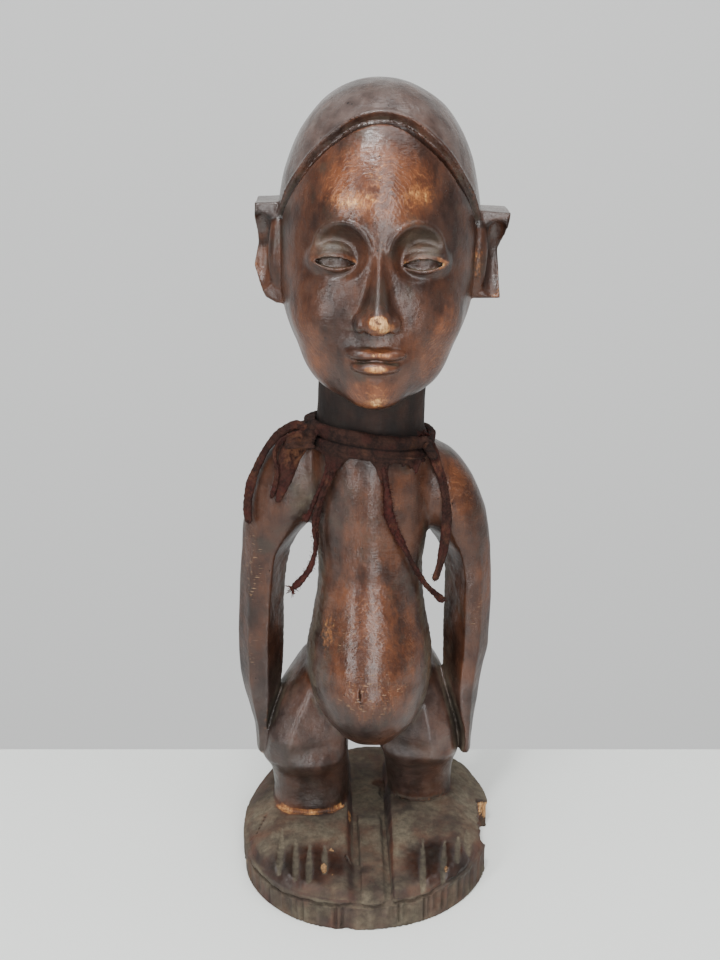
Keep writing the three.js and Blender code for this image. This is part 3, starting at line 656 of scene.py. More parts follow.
ARM_R_CUTS = [(-30, 0.40, -0.95, 0.05), (-93, 0.40, -0.955, 0.06), (-146, -0.50, -0.86, 0.07), (60, 0.6, 0.72, 0.1), (128, -0.6, 0.72, 0.1)]
ARM_L_CUTS = [(-148, -0.16, -0.96, 0.05), (-84, -0.16, -0.965, 0.06), (-34, 0.58, -0.82, 0.08), (120, -0.6, 0.72, 0.1), (52, 0.6, 0.72, 0.1)]
LEG_R_CUTS = [(-72, -0.34, -0.90, 0.09), (-118, -0.34, -0.90, 0.09), (-166, -0.86, -0.42, 0.08), (70, 0.3, 0.9, 0.1), (125, -0.5, 0.8, 0.1)]
LEG_L_CUTS = [(-108, 0.30, -0.91, 0.09), (-62, 0.30, -0.91, 0.09), (-14, 0.86, -0.42, 0.08), (110, -0.3, 0.9, 0.1), (55, 0.5, 0.8, 0.1)]
TRUNK_CUTS = [(-14, 0.93, -0.33, 0.03), (194, -0.94, -0.36, 0.06), (152, -0.8, 0.56, 0.08), (28, 0.8, 0.56, 0.08)]


def blend_cuts(rows, X, Y, Z, cuts, z0, z1, z2, z3):
    """A planed section between z1 and z2 that goes over to a round one at z0 and z3."""
    a = loft_field(rows, X, Y, Z)
    b = loft_field(rows, X, Y, Z, cuts=cuts)
    k = step(Z, z0, z1) * step(Z, z3, z2)
    return a + (b - a) * k.astype(f32)


def build_figure():
    G = Field([-64, -70, -3.2], [66, 74, 363.2], STEP)
    note(f"field {G.n}")
    build_base(G)
    note("base and feet")
    # legs
    L = Field.__new__(Field)
    L.lo, L.h, L.n, L.ax = G.lo, G.h, G.n, G.ax
    L.F = np.full(G.n, 12.0, f32)
    for rows, cuts, k in ((LEG_R, LEG_R_CUTS, 0.0), (LEG_L, LEG_L_CUTS, 1.0)):
        s, X, Y, Z = L.window(*rows_box(rows, 10))
        L.F[s] = smin(L.F[s], blend_cuts(rows, X, Y, Z, cuts, 47, 60, 86, 100), k)
    for x in (-16, 19):
        s, X, Y, Z = L.window([x - 34, -22, 40], [x + 34, 62, 128])
        L.F[s] = smin(L.F[s], ellipsoid(X, Y, Z, (x, 20, 83), (18, 22, 18)), 5)
    T = Field.__new__(Field)
    T.lo, T.h, T.n, T.ax = G.lo, G.h, G.n, G.ax
    T.F = np.full(G.n, 12.0, f32)
    s, X, Y, Z = T.window(*rows_box(TORSO, 10))
    T.F[s] = smin(T.F[s], blend_cuts(TORSO, X, Y, Z, TRUNK_CUTS, 84, 98, 186, 200), 0)
    # the belly's underside, planed
    s, X, Y, Z = T.window([-40, -50, 55], [44, 40, 100])
    under = T.F[s]
    for nx, ny, nz, px, py, pz in ((0.0, -0.52, -0.85, 2, -22, 68.2), (-0.50, -0.34, -0.80, -14, -12, 68.6),
                                   (0.52, -0.34, -0.79, 18, -12, 68.4)):
        under = smax(under, (X - f32(px)) * f32(nx) + (Y - f32(py)) * f32(ny) + (Z - f32(pz)) * f32(nz), 0.9)
    T.F[s] = under
    add_loft(T, NECK, 3)
    # the belly stands proud of the thighs; at the back the two run together
    s, X, Y, Z = L.window([-60, -60, 40], [60, 60, 130])
    k = np.clip((Y + 6) / 14, 0, 1) * 5 * step(Z, 62, 78) + 0.8
    h = np.clip(0.5 + 0.5 * (L.F[s] - T.F[s]) / k, 0, 1)
    L.F[s] = L.F[s] + (T.F[s] - L.F[s]) * h - k * h * (1 - h)
    s2, *_ = L.window([-60, -60, 130.1], [60, 60, 363])
    L.F[s2] = np.minimum(L.F[s2], T.F[s2])
    note("legs and trunk")
    # arms: their own stems run into the shoulders and the hands lie on the thighs
    for rows, cuts in ((ARM_R, ARM_R_CUTS), (ARM_L, ARM_L_CUTS)):
        s, X, Y, Z = L.window(*rows_box(rows, 10))
        d = blend_cuts(rows, X, Y, Z, cuts, 50, 56, 150, 182)
        k = np.clip((Z - 60) / 90, 0, 1) * 3.5 + 0.6
        a = L.F[s]
        h = np.clip(0.5 + 0.5 * (d - a) / k, 0, 1)
        L.F[s] = d + (a - d) * h - k * h * (1 - h)
    note("arms")
    build_head(L)
    note("head")
    s, X, Y, Z = G.window([-64, -70, 6], [66, 74, 363.2])
    G.F[s] = smin(G.F[s], L.F[s], 0.7)
    carve_base(G)
    # the split in the belly
    s, X, Y, Z = G.window([-6, -40, 90], [3, -24, 108])
    t = np.clip((104.4 - Z) / 6.0, 0, 1)
    split = np.maximum(np.abs(X + 2.4 + 0.3 * np.sin(Z * 1.3)) - 0.42 * np.sin(math.pi * np.clip(t * 0.86 + 0.1, 0, 1)), Y + 34.2)
    G.F[s] = smax(G.F[s], -split, 0.2)
    # a splinter under the belly
    s, X, Y, Z = G.window([-4, -16, 58], [6, -4, 70])
    G.F[s] = smin(G.F[s], ellipsoid(X, Y, Z, (1.3, -10, 63.4), (1.9, 1.4, 1.2)), 0.3)
    return G


def surface_nets(G):
    """A closed mesh of quads on the field's zero."""
    F = G.F
    I = F < 0
    nx, ny, nz = F.shape
    c = [I[a : nx - 1 + a, b : ny - 1 + b, d : nz - 1 + d] for a in (0, 1) for b in (0, 1) for d in (0, 1)]
    some = c[0].copy()
    every = c[0].copy()
    for m in c[1:]:
        some |= m
        every &= m
    act = np.argwhere(some & ~every)
    del some, every, c
    ids = np.full((nx - 1, ny - 1, nz - 1), -1, np.int32)
    ids[act[:, 0], act[:, 1], act[:, 2]] = np.arange(len(act))
    pos = np.zeros((len(act), 3), f32)
    cnt = np.zeros(len(act), f32)
    i, j, k = act.T
    for axis in range(3):
        o1, o2 = [(1, 2), (0, 2), (0, 1)][axis]
        for a in (0, 1):
            for b in (0, 1):
                off = [0, 0, 0]
                off[o1], off[o2] = a, b
                p = (i + off[0], j + off[1], k + off[2])
                e = [0, 0, 0]
                e[axis] = 1
                q = (p[0] + e[0], p[1] + e[1], p[2] + e[2])
                f0, f1 = F[p], F[q]
                m = (f0 < 0) != (f1 < 0)
                t = np.where(m, f0 / np.where(m, f0 - f1, 1), 0)
                add = np.zeros((len(act), 3), f32)
                add[:, o1], add[:, o2] = a, b
                add[:, axis] = t
                pos[m] += add[m]
                cnt[m] += 1
    V = G.lo + (act + pos / cnt[:, None]) * G.h
    faces = []
    for axis in range(3):
        sl0 = [slice(None)] * 3
        sl1 = [slice(None)] * 3
        sl0[axis], sl1[axis] = slice(0, -1), slice(1, None)
        A, B = I[tuple(sl0)], I[tuple(sl1)]
        e = np.argwhere(A != B)
        inside = A[e[:, 0], e[:, 1], e[:, 2]]
        o1, o2 = [(1, 2), (2, 0), (0, 1)][axis]
        d1, d2 = np.zeros(3, int), np.zeros(3, int)
        d1[o1], d2[o2] = 1, 1
        q = np.stack([ids[tuple((e - a * d1 - b * d2).T)] for a, b in ((1, 1), (0, 1), (0, 0), (1, 0))], 1)
        q[~inside] = q[~inside][:, ::-1]
        faces.append(q)
    return V, np.concatenate(faces)


def settle(G, V, rounds=2):
    for _ in range(rounds):
        f = G.sample(V)
        g = G.gradient(V, G.h * 0.6)
        m = np.maximum((g * g).sum(1), 0.05)
        V = V - np.clip(f / m, -G.h, G.h)[:, None] * g
    return V


RIM_CUTS = [
    # angle in degrees, width and depth in mm, lowest and highest height
    (-163.0, 3.0, 0.8, 0, 12), (-150.4, 5.5, 0.5, 1, 12), (-142.0, 4.0, 0.4, 2, 11), (-133.8, 2.2, 0.7, 0, 11),
    (-128.0, 4.5, 0.5, 1, 10.5), (-123.2, 5.0, 0.7, 1, 10), (-119.0, 2.0, 0.5, 0, 11), (-116.0, 1.5, 1.0, 0, 11.4),
    (-111.5, 6.0, 0.7, 1, 10.4), (-106.1, 5.0, 0.5, 2, 10.6), (-101.8, 1.8, 1.2, 0, 11.6), (-99.2, 1.7, 1.0, 0, 11.6),
    (-95.0, 4.2, 0.5, 2.4, 10.8), (-90.5, 5.2, 0.6, 1.2, 10.2), (-84.4, 6.0, 0.5, 1, 10.4), (-79.5, 2.8, 0.6, 3, 11),
    (-76.6, 1.6, 0.9, 2, 11.8), (-73.0, 4.4, 0.6, 3.4, 11), (-68.6, 3.8, 0.4, 1, 10), (-65.2, 1.6, 0.9, 1, 12),
    (-63.0, 1.6, 0.6, 2, 12), (-59.6, 3.6, 0.8, 4, 12.4), (-56.2, 2.2, 0.9, 3, 12), (-51.8, 4.6, 0.6, 2, 12.6),
    (-46.4, 3.0, 0.8, 3, 13), (-42.0, 3.4, 0.5, 1, 12), (-37.6, 4.0, 0.6, 2, 13), (-31.0, 3.6, 0.5, 1, 13),
]


def rim_strokes(deg, z):
    """Depth of the upright chisel strokes round the rim."""
    cut = np.zeros(len(z))
    for a, w, dep, lo, hi in RIM_CUTS:
        t = (deg - a) / math.degrees(w / 2 / 64.0)
        m = np.clip(1 - t * t, 0, 1) ** 0.6 * step(z, lo - 1.2, lo + 1.2) * step(z, hi + 1.4, hi - 0.6)
        cut = np.maximum(cut, 1.5 * dep * m)
    rs = np.random.RandomState(7)
    for _ in range(70):
        a, w, dep, lo = rs.uniform(-28, 200), rs.uniform(2.5, 7), rs.uniform(0.3, 0.9), rs.uniform(-1, 4)
        a = a - 360 if a > 180 else a
        t = (deg - a) / math.degrees(w / 2 / 64.0)
        m = np.clip(1 - t * t, 0, 1) ** 0.6 * step(z, lo - 1, lo + 1) * step(z, 14, 11.5)
        cut = np.maximum(cut, dep * m)
    return cut


def relief(V, N):
    """How far each point of the wood moves along its normal: the tool's marks, wear and shrinkage."""
    x, y, z = V.T
    d = 0.30 * noise(V, 24, 11) + 0.14 * noise(V, 10, 12)
    r, deg = np.hypot(x, y), np.degrees(np.arctan2(y, x))
    R = rim_radius(np.radians(deg))
    front = step(-N[:, 1], -0.15, 0.35)
    trunk = step(np.abs(x - 2), 32, 27) * step(z, 68, 80) * step(z, 214, 205)
    head = step(z, 222, 230)
    cap = head * step(-hairline_points(V), -0.5, 0.8)
    # the adze's scoops: broad on limbs and back, none on the polished front
    scoops = scallops(V, (11, 11, 17), 21) ** 1.3
    rough = 0.42 * (1 - head) * step(z, 24, 30)
    rough = rough * (1 - trunk * front) + 0.05
    rough = rough + 0.32 * cap + 0.10 * head * (1 - cap)
    d = d - rough * scoops
    # flanks and the inner sides of the arms show short chisel marks across the grain
    inner = step(np.abs(N[:, 0]), 0.75, 0.95) * step(z, 80, 90) * step(z, 205, 195) * step(np.abs(x - 1), 42, 38)
    d = d - inner * 0.42 * np.abs(noise(V, (5, 6, 1.9), 23))
    # deck and feet
    top = step(N[:, 2], 0.4, 0.8) * step(z, 27, 24)
    d = d - top * (0.45 * scallops(V, (7, 10, 9), 25) + 0.22 * np.abs(noise(V, (2.2, 4, 3), 26)))
    # the rim: upright strokes of the chisel
    wall_ = step(np.abs(N[:, 2]), 0.6, 0.3) * step(r - R, -4.5, -2.5) * step(z, 16, 14)
    cut = rim_strokes(deg, z)
    d = d - wall_ * (cut + 0.25 * np.abs(noise(V, (1.6, 1.6, 5), 27)) + 0.2 * scallops(V, (5, 5, 9), 28))
    # the crack in the chest
    seam = np.abs(x + 2.6 + 0.25 * np.sin(z * 0.7)) / 0.75
    d = d - 0.55 * np.clip(1 - seam, 0, 1) * step(z, 157, 162) * step(z, 180, 174) * (y < -10)
    return d


def hairline_points(V):
    hx, hz = to_head(V[:, 0], V[:, 2])
    return hairline(hx, V[:, 1], hz)


def new_mesh(name, V, Fc, scale=0.001, smooth=True):
    me = bpy.data.meshes.new(name)
    V = np.asarray(V, np.float64) * scale
    Fc = np.asarray(Fc)
    me.vertices.add(len(V))
    me.vertices.foreach_set("co", V.ravel())
    n, k = Fc.shape
    me.loops.add(n * k)
    me.loops.foreach_set("vertex_index", Fc.ravel().astype(np.int32))
    me.polygons.add(n)
    me.polygons.foreach_set("loop_start", np.arange(0, n * k, k, dtype=np.int32))
    me.update(calc_edges=True)
    me.validate()
    if smooth:
        me.shade_smooth()
    ob = bpy.data.objects.new(name, me)
    bpy.context.scene.collection.objects.link(ob)
    return ob


def applied(ob):
    """The object's mesh with its modifiers applied in place."""
    dg = bpy.context.evaluated_depsgraph_get()
    me = bpy.data.meshes.new_from_object(ob.evaluated_get(dg))
    ob.modifiers.clear()
    old = ob.data
    ob.data = me
    bpy.data.meshes.remove(old)
    return ob


# ======================================================================================================================
# 3. Shading helpers
# ======================================================================================================================
def lin(r, g, b):
    """A colour given in display values 0-255."""
    return tuple(((c / 255) / 12.92 if c / 255 <= 0.04045 else ((c / 255 + 0.055) / 1.055) ** 2.4) for c in (r, g, b))


class Shader:
    """A few short words for building a node tree."""

    def __init__(self, name):
        self.mat = bpy.data.materials.new(name)
        self.mat.use_nodes = True
        self.t = self.mat.node_tree
        self.bsdf = self.t.nodes["Principled BSDF"]
        self.obj = self.node("ShaderNodeTexCoord").outputs["Object"]

    def node(self, kind, **props):
        n = self.t.nodes.new(kind)
        for k, v in props.items():
            setattr(n, k, v)
        return n

    def put(self, sock, v):
        if isinstance(v, bpy.types.NodeSocket):
            self.t.links.new(v, sock)
        elif isinstance(v, tuple) and len(v) == 3 and sock.type == "RGBA":
            sock.default_value = (*v, 1)
        else:
            sock.default_value = v

    def math(self, op, a, b=0.0, c=0.0, clamp=False):
        n = self.node("ShaderNodeMath", operation=op, use_clamp=clamp)
        for i, v in enumerate((a, b, c)):
            if i < len(n.inputs):
                self.put(n.inputs[i], v)
        return n.outputs[0]

    def mul(self, a, b):
        return self.math("MULTIPLY", a, b)

    def add(self, a, b):
        return self.math("ADD", a, b)

    def sub(self, a, b):
        return self.math("SUBTRACT", a, b)

    def rng(self, v, lo, hi, to_lo=0.0, to_hi=1.0, smooth=True):
        n = self.node("ShaderNodeMapRange", clamp=True)
        if smooth:
            n.interpolation_type = "SMOOTHSTEP"
        for k, x in (("Value", v), ("From Min", lo), ("From Max", hi), ("To Min", to_lo), ("To Max", to_hi)):
            self.put(n.inputs[k], x)
        return n.outputs["Result"]

    def scaled(self, sx, sy, sz):
        """Object coordinates in millimetres, divided by a cell's size."""
        n = self.node("ShaderNodeMapping")
        self.put(n.inputs["Vector"], self.obj)
        n.inputs["Scale"].default_value = (1000 / sx, 1000 / sy, 1000 / sz)
        return n.outputs["Vector"]

    def noise(self, size, detail=3.0, rough=0.55, distort=0.0, seed=0.0):
        if not isinstance(size, tuple):
            size = (size,) * 3
        m = self.node("ShaderNodeMapping")
        self.put(m.inputs["Vector"], self.obj)
        m.inputs["Scale"].default_value = tuple(1000 / q for q in size)
        m.inputs["Location"].default_value = (seed * 7.13, seed * 3.71, seed * 5.37)
        n = self.node("ShaderNodeTexNoise")
        self.put(n.inputs["Vector"], m.outputs["Vector"])
        n.inputs["Scale"].default_value = 1.0
        n.inputs["Detail"].default_value = detail
        n.inputs["Roughness"].default_value = rough
        n.inputs["Distortion"].default_value = distort
        return n.outputs["Fac"]

    def cells(self, size, seed=0.0, feature="F1", rand=1.0):
        m = self.node("ShaderNodeMapping")
        self.put(m.inputs["Vector"], self.obj)
        m.inputs["Scale"].default_value = tuple(1000 / q for q in size)
        m.inputs["Location"].default_value = (seed * 7.13, seed * 3.71, seed * 5.37)
        n = self.node("ShaderNodeTexVoronoi", feature=feature)
        self.put(n.inputs["Vector"], m.outputs["Vector"])
        n.inputs["Scale"].default_value = 1.0
        n.inputs["Randomness"].default_value = rand
        return n.outputs["Distance"]

    def attr(self, name):
        n = self.node("ShaderNodeAttribute")
        n.attribute_name = name
        return n.outputs["Fac"]

    def mix(self, f, a, b, mode="MIX"):
        n = self.node("ShaderNodeMix", data_type="RGBA", blend_type=mode)
        n.clamp_factor = True
        self.put(n.inputs[0], f)
        self.put(n.inputs[6], a)
        self.put(n.inputs[7], b)
        return n.outputs[2]

    def ramp(self, v, stops):
        n = self.node("ShaderNodeValToRGB")
        e = n.color_ramp.elements
        while len(e) < len(stops):
            e.new(0.5)
        for q, (at, c) in zip(e, stops):
            q.position, q.color = at, (*c, 1)
        self.put(n.inputs[0], v)
        return n.outputs[0]

    def bump(self, parts):
        """parts: (height in mm, how deep in mm) pairs, one after the other."""
        last = None
        for h, depth in parts:
            n = self.node("ShaderNodeBump")
            n.inputs["Strength"].default_value = 1.0
            n.inputs["Distance"].default_value = depth / 1000
            self.put(n.inputs["Height"], h)
            if last is not None:
                self.put(n.inputs["Normal"], last)
            last = n.outputs["Normal"]
        self.put(self.bsdf.inputs["Normal"], last)


def paint(ob, name, values):
    a = ob.data.attributes.new(name, "FLOAT", "POINT")
    a.data.foreach_set("value", np.asarray(values, f32))


def points(ob):
    v = np.empty(3 * len(ob.data.vertices), f32)
    ob.data.vertices.foreach_get("co", v)
    return v.reshape(-1, 3) * 1000


def normals(ob):
    v = np.empty(3 * len(ob.data.vertices), f32)
    ob.data.vertices.foreach_get("normal", v)
    return v.reshape(-1, 3)


def blob(P, c, r, soft=0.5):
    """1 in the middle of an ellipsoid, 0 at its edge and outside."""
    q = (P - np.array(c, f32)) / np.array(r, f32)
    return step(1 - np.sqrt((q * q).sum(1)), 0, soft)


# ======================================================================================================================
# 4. The wood
# ======================================================================================================================
def wood_material():
    S = Shader("patinated_wood")
    wear, raw, dust, cav_shade, amber, tone_and_shade, gloss = (S.attr(k) for k in ("wear", "raw", "dust", "cavity_shade", "amber", "tone_and_shade", "gloss"))
    grey_tone_and_sheen = S.attr("grey_tone_and_sheen")
    big = S.noise((23, 26, 41), 4, 0.6, seed=60)
    mid = S.noise((8, 8, 11), 4)
    streak = S.noise((0.75, 0.75, 13), 3, 0.6)
    fibre = S.noise((0.32, 0.32, 6.5), 2, 0.6, seed=3)
    grit = S.noise(0.7, 3, 0.7, seed=5)
    # the year rings stand round a pith behind the figure
    sep = S.node("ShaderNodeSeparateXYZ")
    S.put(sep.inputs[0], S.obj)
    dx = S.mul(S.sub(sep.outputs[0], 0.004), 1000)
    dy = S.mul(S.sub(sep.outputs[1], 0.085), 1000)
    r = S.math("SQRT", S.add(S.mul(dx, dx), S.mul(dy, dy)))
    r = S.add(r, S.mul(S.noise((9, 9, 24), 3, 0.55, seed=2), 5.0))
    r = S.add(r, S.mul(S.noise((1.6, 1.6, 3), 2, 0.5, seed=22), 0.5))
    ring = S.rng(S.math("SINE", S.mul(r, 2 * math.pi / 1.25)), -1, 1)
    fine_ring = S.rng(S.math("SINE", S.mul(r, 2 * math.pi / 0.66)), 0.25, 1.0)

    dark = S.mix(S.rng(mid, 0.3, 0.7), lin(32, 21, 17), lin(56, 38, 31))
    warm = S.mix(S.rng(S.add(S.mul(streak, 0.28), S.mul(mid, 0.72)), 0.36, 0.64), lin(70, 40, 27), lin(98, 58, 36))
    col = S.mix(S.rng(big, 0.40, 0.66), dark, S.mix(0.5, dark, warm))
    col = S.mix(S.mul(S.rng(S.noise(15, 4, 0.6, seed=50), 0.52, 0.68), 0.45), col, lin(52, 46, 38))
    w = S.rng(S.add(wear, S.mul(S.sub(S.noise((2.2, 2.2, 5), 4, 0.6, seed=9), 0.5), 0.8)), 0.15, 0.75)
    col = S.mix(w, col, warm)
    w2 = S.rng(S.add(amber, S.mul(S.sub(S.noise((1.7, 1.7, 2.0), 5, 0.68, seed=12), 0.5), 1.25)), 0.45, 1.0)
    orange = S.mix(S.rng(fibre, 0.35, 0.65), lin(106, 62, 36), lin(148, 98, 58))
    col = S.mix(w2, col, orange)
    w3 = S.rng(S.add(amber, S.mul(S.sub(S.noise((2.4, 2.4, 4.2), 5, 0.7, seed=13), 0.5), 2.0)), 0.72, 1.25)
    col = S.mix(w3, col, S.mix(S.rng(fibre, 0.3, 0.6), lin(150, 98, 52), lin(206, 160, 98)))
    # fine pale ring lines where the patina is thin
    lines = S.mul(S.mul(fine_ring, S.rng(wear, 0.25, 0.7)), S.rng(S.noise((5, 3, 1.8), 4, 0.65, seed=21), 0.44, 0.62))
    col = S.mix(S.mul(lines, 0.32), col, lin(150, 100, 64))
    col = S.mix(S.mul(S.mul(S.rng(ring, 0.55, 0.0), S.rng(wear, 0.25, 0.8)), 0.24), col, lin(44, 24, 18))
    # a grey-brown skin over the patina: painted sheen on the cap, thighs, chest and arm, and a greyer tone on the legs
    # and rim
    sheen_mix = S.rng(S.add(grey_tone_and_sheen, S.mul(S.sub(S.noise((9, 9, 9), 4, 0.6, seed=51), 0.5), 0.7)), 0.1, 0.9)
    col = S.mix(S.mul(sheen_mix, 0.8), col, S.mix(S.rng(mid, 0.3, 0.7), lin(54, 44, 41), lin(84, 73, 69)))
    # dark pores along the grain
    pore = S.rng(S.cells((0.42, 0.42, 3.2), seed=4), 0.16, 0.05)
    pore = S.mul(pore, S.rng(S.noise(5, 2, seed=8), 0.35, 0.6))
    col = S.mix(S.mul(pore, 0.7), col, lin(24, 14, 12))
    # worm holes
    hole = S.mul(S.rng(S.cells((4.6, 4.6, 4.6), seed=33), 0.085, 0.055), S.rng(S.noise(11, 2, seed=34), 0.5, 0.62))
    hole = S.mul(hole, S.rng(raw, 0.3, 0.1))
    col = S.mix(hole, col, lin(14, 9, 7))
    # thin pale scuffs across the grain
    scuff = S.attr("scuff")
    cut = S.rng(S.cells((7.5, 7.5, 0.75), seed=6), 0.20, 0.09)
    cut2 = S.rng(S.cells((4.2, 4.2, 0.5), seed=7), 0.17, 0.08)
    cut = S.math("MAXIMUM", cut, cut2)
    cut = S.mul(cut, S.rng(S.add(scuff, S.mul(S.sub(S.noise(4.5, 3, 0.6, seed=14), 0.5), 1.2)), 0.35, 0.75))
    col = S.mix(S.mul(cut, 0.75), col, lin(176, 142, 104))
    # raw wood
    rawc = S.mix(S.rng(streak, 0.3, 0.7), lin(134, 92, 54), lin(196, 156, 108))
    rawc = S.mix(S.rng(S.noise(1.7, 3, 0.6, seed=16), 0.5, 0.68), rawc, lin(74, 44, 28))
    rw = S.rng(S.add(raw, S.mul(S.sub(S.noise((1.0, 1.0, 2.2), 4, 0.65, seed=15), 0.5), 0.8)), 0.42, 0.62)
    col = S.mix(rw, col, rawc)
    # dust in the low places
    du = S.rng(S.add(dust, S.mul(S.sub(S.noise(7.5, 6, 0.6, seed=17), 0.5), 1.0)), 0.1, 1.05)
    dustc = S.mix(S.rng(S.noise(3.2, 5, 0.7, seed=19), 0.3, 0.7), lin(66, 60, 49), lin(98, 90, 74))
    col = S.mix(S.mul(du, 0.85), col, dustc)
    # painted shade: the colour goes near black in the recesses and in the rim's chisel cuts
    col = S.mix(S.mul(cav_shade, 0.6), col, lin(20, 13, 10))
    # the tone layer: the wood's own lighter and darker places, and painted shade where the form turns from the light or
    # lies in a recess
    col = S.mix(1.0, col, S.ramp(tone_and_shade, [(0, (0.2, 0.2, 0.2)), (0.5, (1, 1, 1)), (1, (1.9, 1.9, 1.9))]), "MULTIPLY")
    S.put(S.bsdf.inputs["Base Color"], col)
    rough = S.add(S.mul(S.noise((3, 3, 9), 4, 0.6, seed=31), 0.22), S.sub(0.75, S.mul(S.rng(gloss, 0.0, 0.3), 0.39)))
    rough = S.sub(rough, S.mul(gloss, 0.23))
    rough = S.add(rough, S.mul(du, 0.38))
    rough = S.add(rough, S.mul(rw, 0.35))
    rough = S.math("MINIMUM", rough, 0.95)
    S.put(S.bsdf.inputs["Roughness"], rough)
    S.bsdf.inputs["Specular IOR Level"].default_value = 0.37
    S.bsdf.inputs["IOR"].default_value = 1.5
    calm = S.rng(gloss, 1.0, 0.5)
    S.bump([
        (S.noise(9, 3, seed=41), 0.7),
        (S.mul(S.noise((2.4, 2.4, 3.6), 3, 0.55, seed=43), S.add(S.mul(calm, 0.6), 0.4)), 0.17),
        (S.mul(S.noise((1.1, 1.1, 0.7), 3, 0.6, seed=45), S.add(S.mul(calm, 0.6), 0.4)), 0.07),
        (S.noise((3.4, 3.4, 0.45), 3, 0.6, seed=47), 0.10),
        (S.mul(pore, -1), 0.10),
        (S.mul(cut, -1), 0.08),
        (S.mul(hole, -1), 0.4),
        (S.mul(fine_ring, S.rng(wear, 0.2, 1)), 0.03),
        (S.mul(grit, S.add(S.mul(du, 1), 0.1)), 0.18),
    ])
    return S.mat


def dashes(P, rs, count, lo, hi, length, width, way, spread=0.25):
    """Short straight marks over a part of the surface: 1 on a mark."""
    m = np.zeros(len(P), f32)
    lo, hi = np.array(lo, float), np.array(hi, float)
    near_ = np.nonzero(((P > lo - length) & (P < hi + length)).all(1))[0]
    Q = P[near_]
    way = np.array(way, float)
    for _ in range(count):
        c = rs.uniform(lo, hi)
        d = way + rs.normal(0, spread, 3)
        d /= np.linalg.norm(d)
        # onto the surface: the nearest point seen from the front
        j = np.argmin(((Q - c) ** 2 * np.array([1, 0.15, 1])).sum(1)) if len(Q) else 0
        c = Q[j]
        ln, w = length * rs.uniform(0.3, 1), width * rs.uniform(0.5, 1.2)
        q = Q - c
        t = q @ d
        off = np.sqrt(np.maximum((q * q).sum(1) - t * t, 0))
        k = step(off, w, w * 0.3) * step(np.abs(t), ln / 2, ln / 2 - 1) * rs.uniform(0.5, 1)
        m[near_] = np.maximum(m[near_], k)
    return m


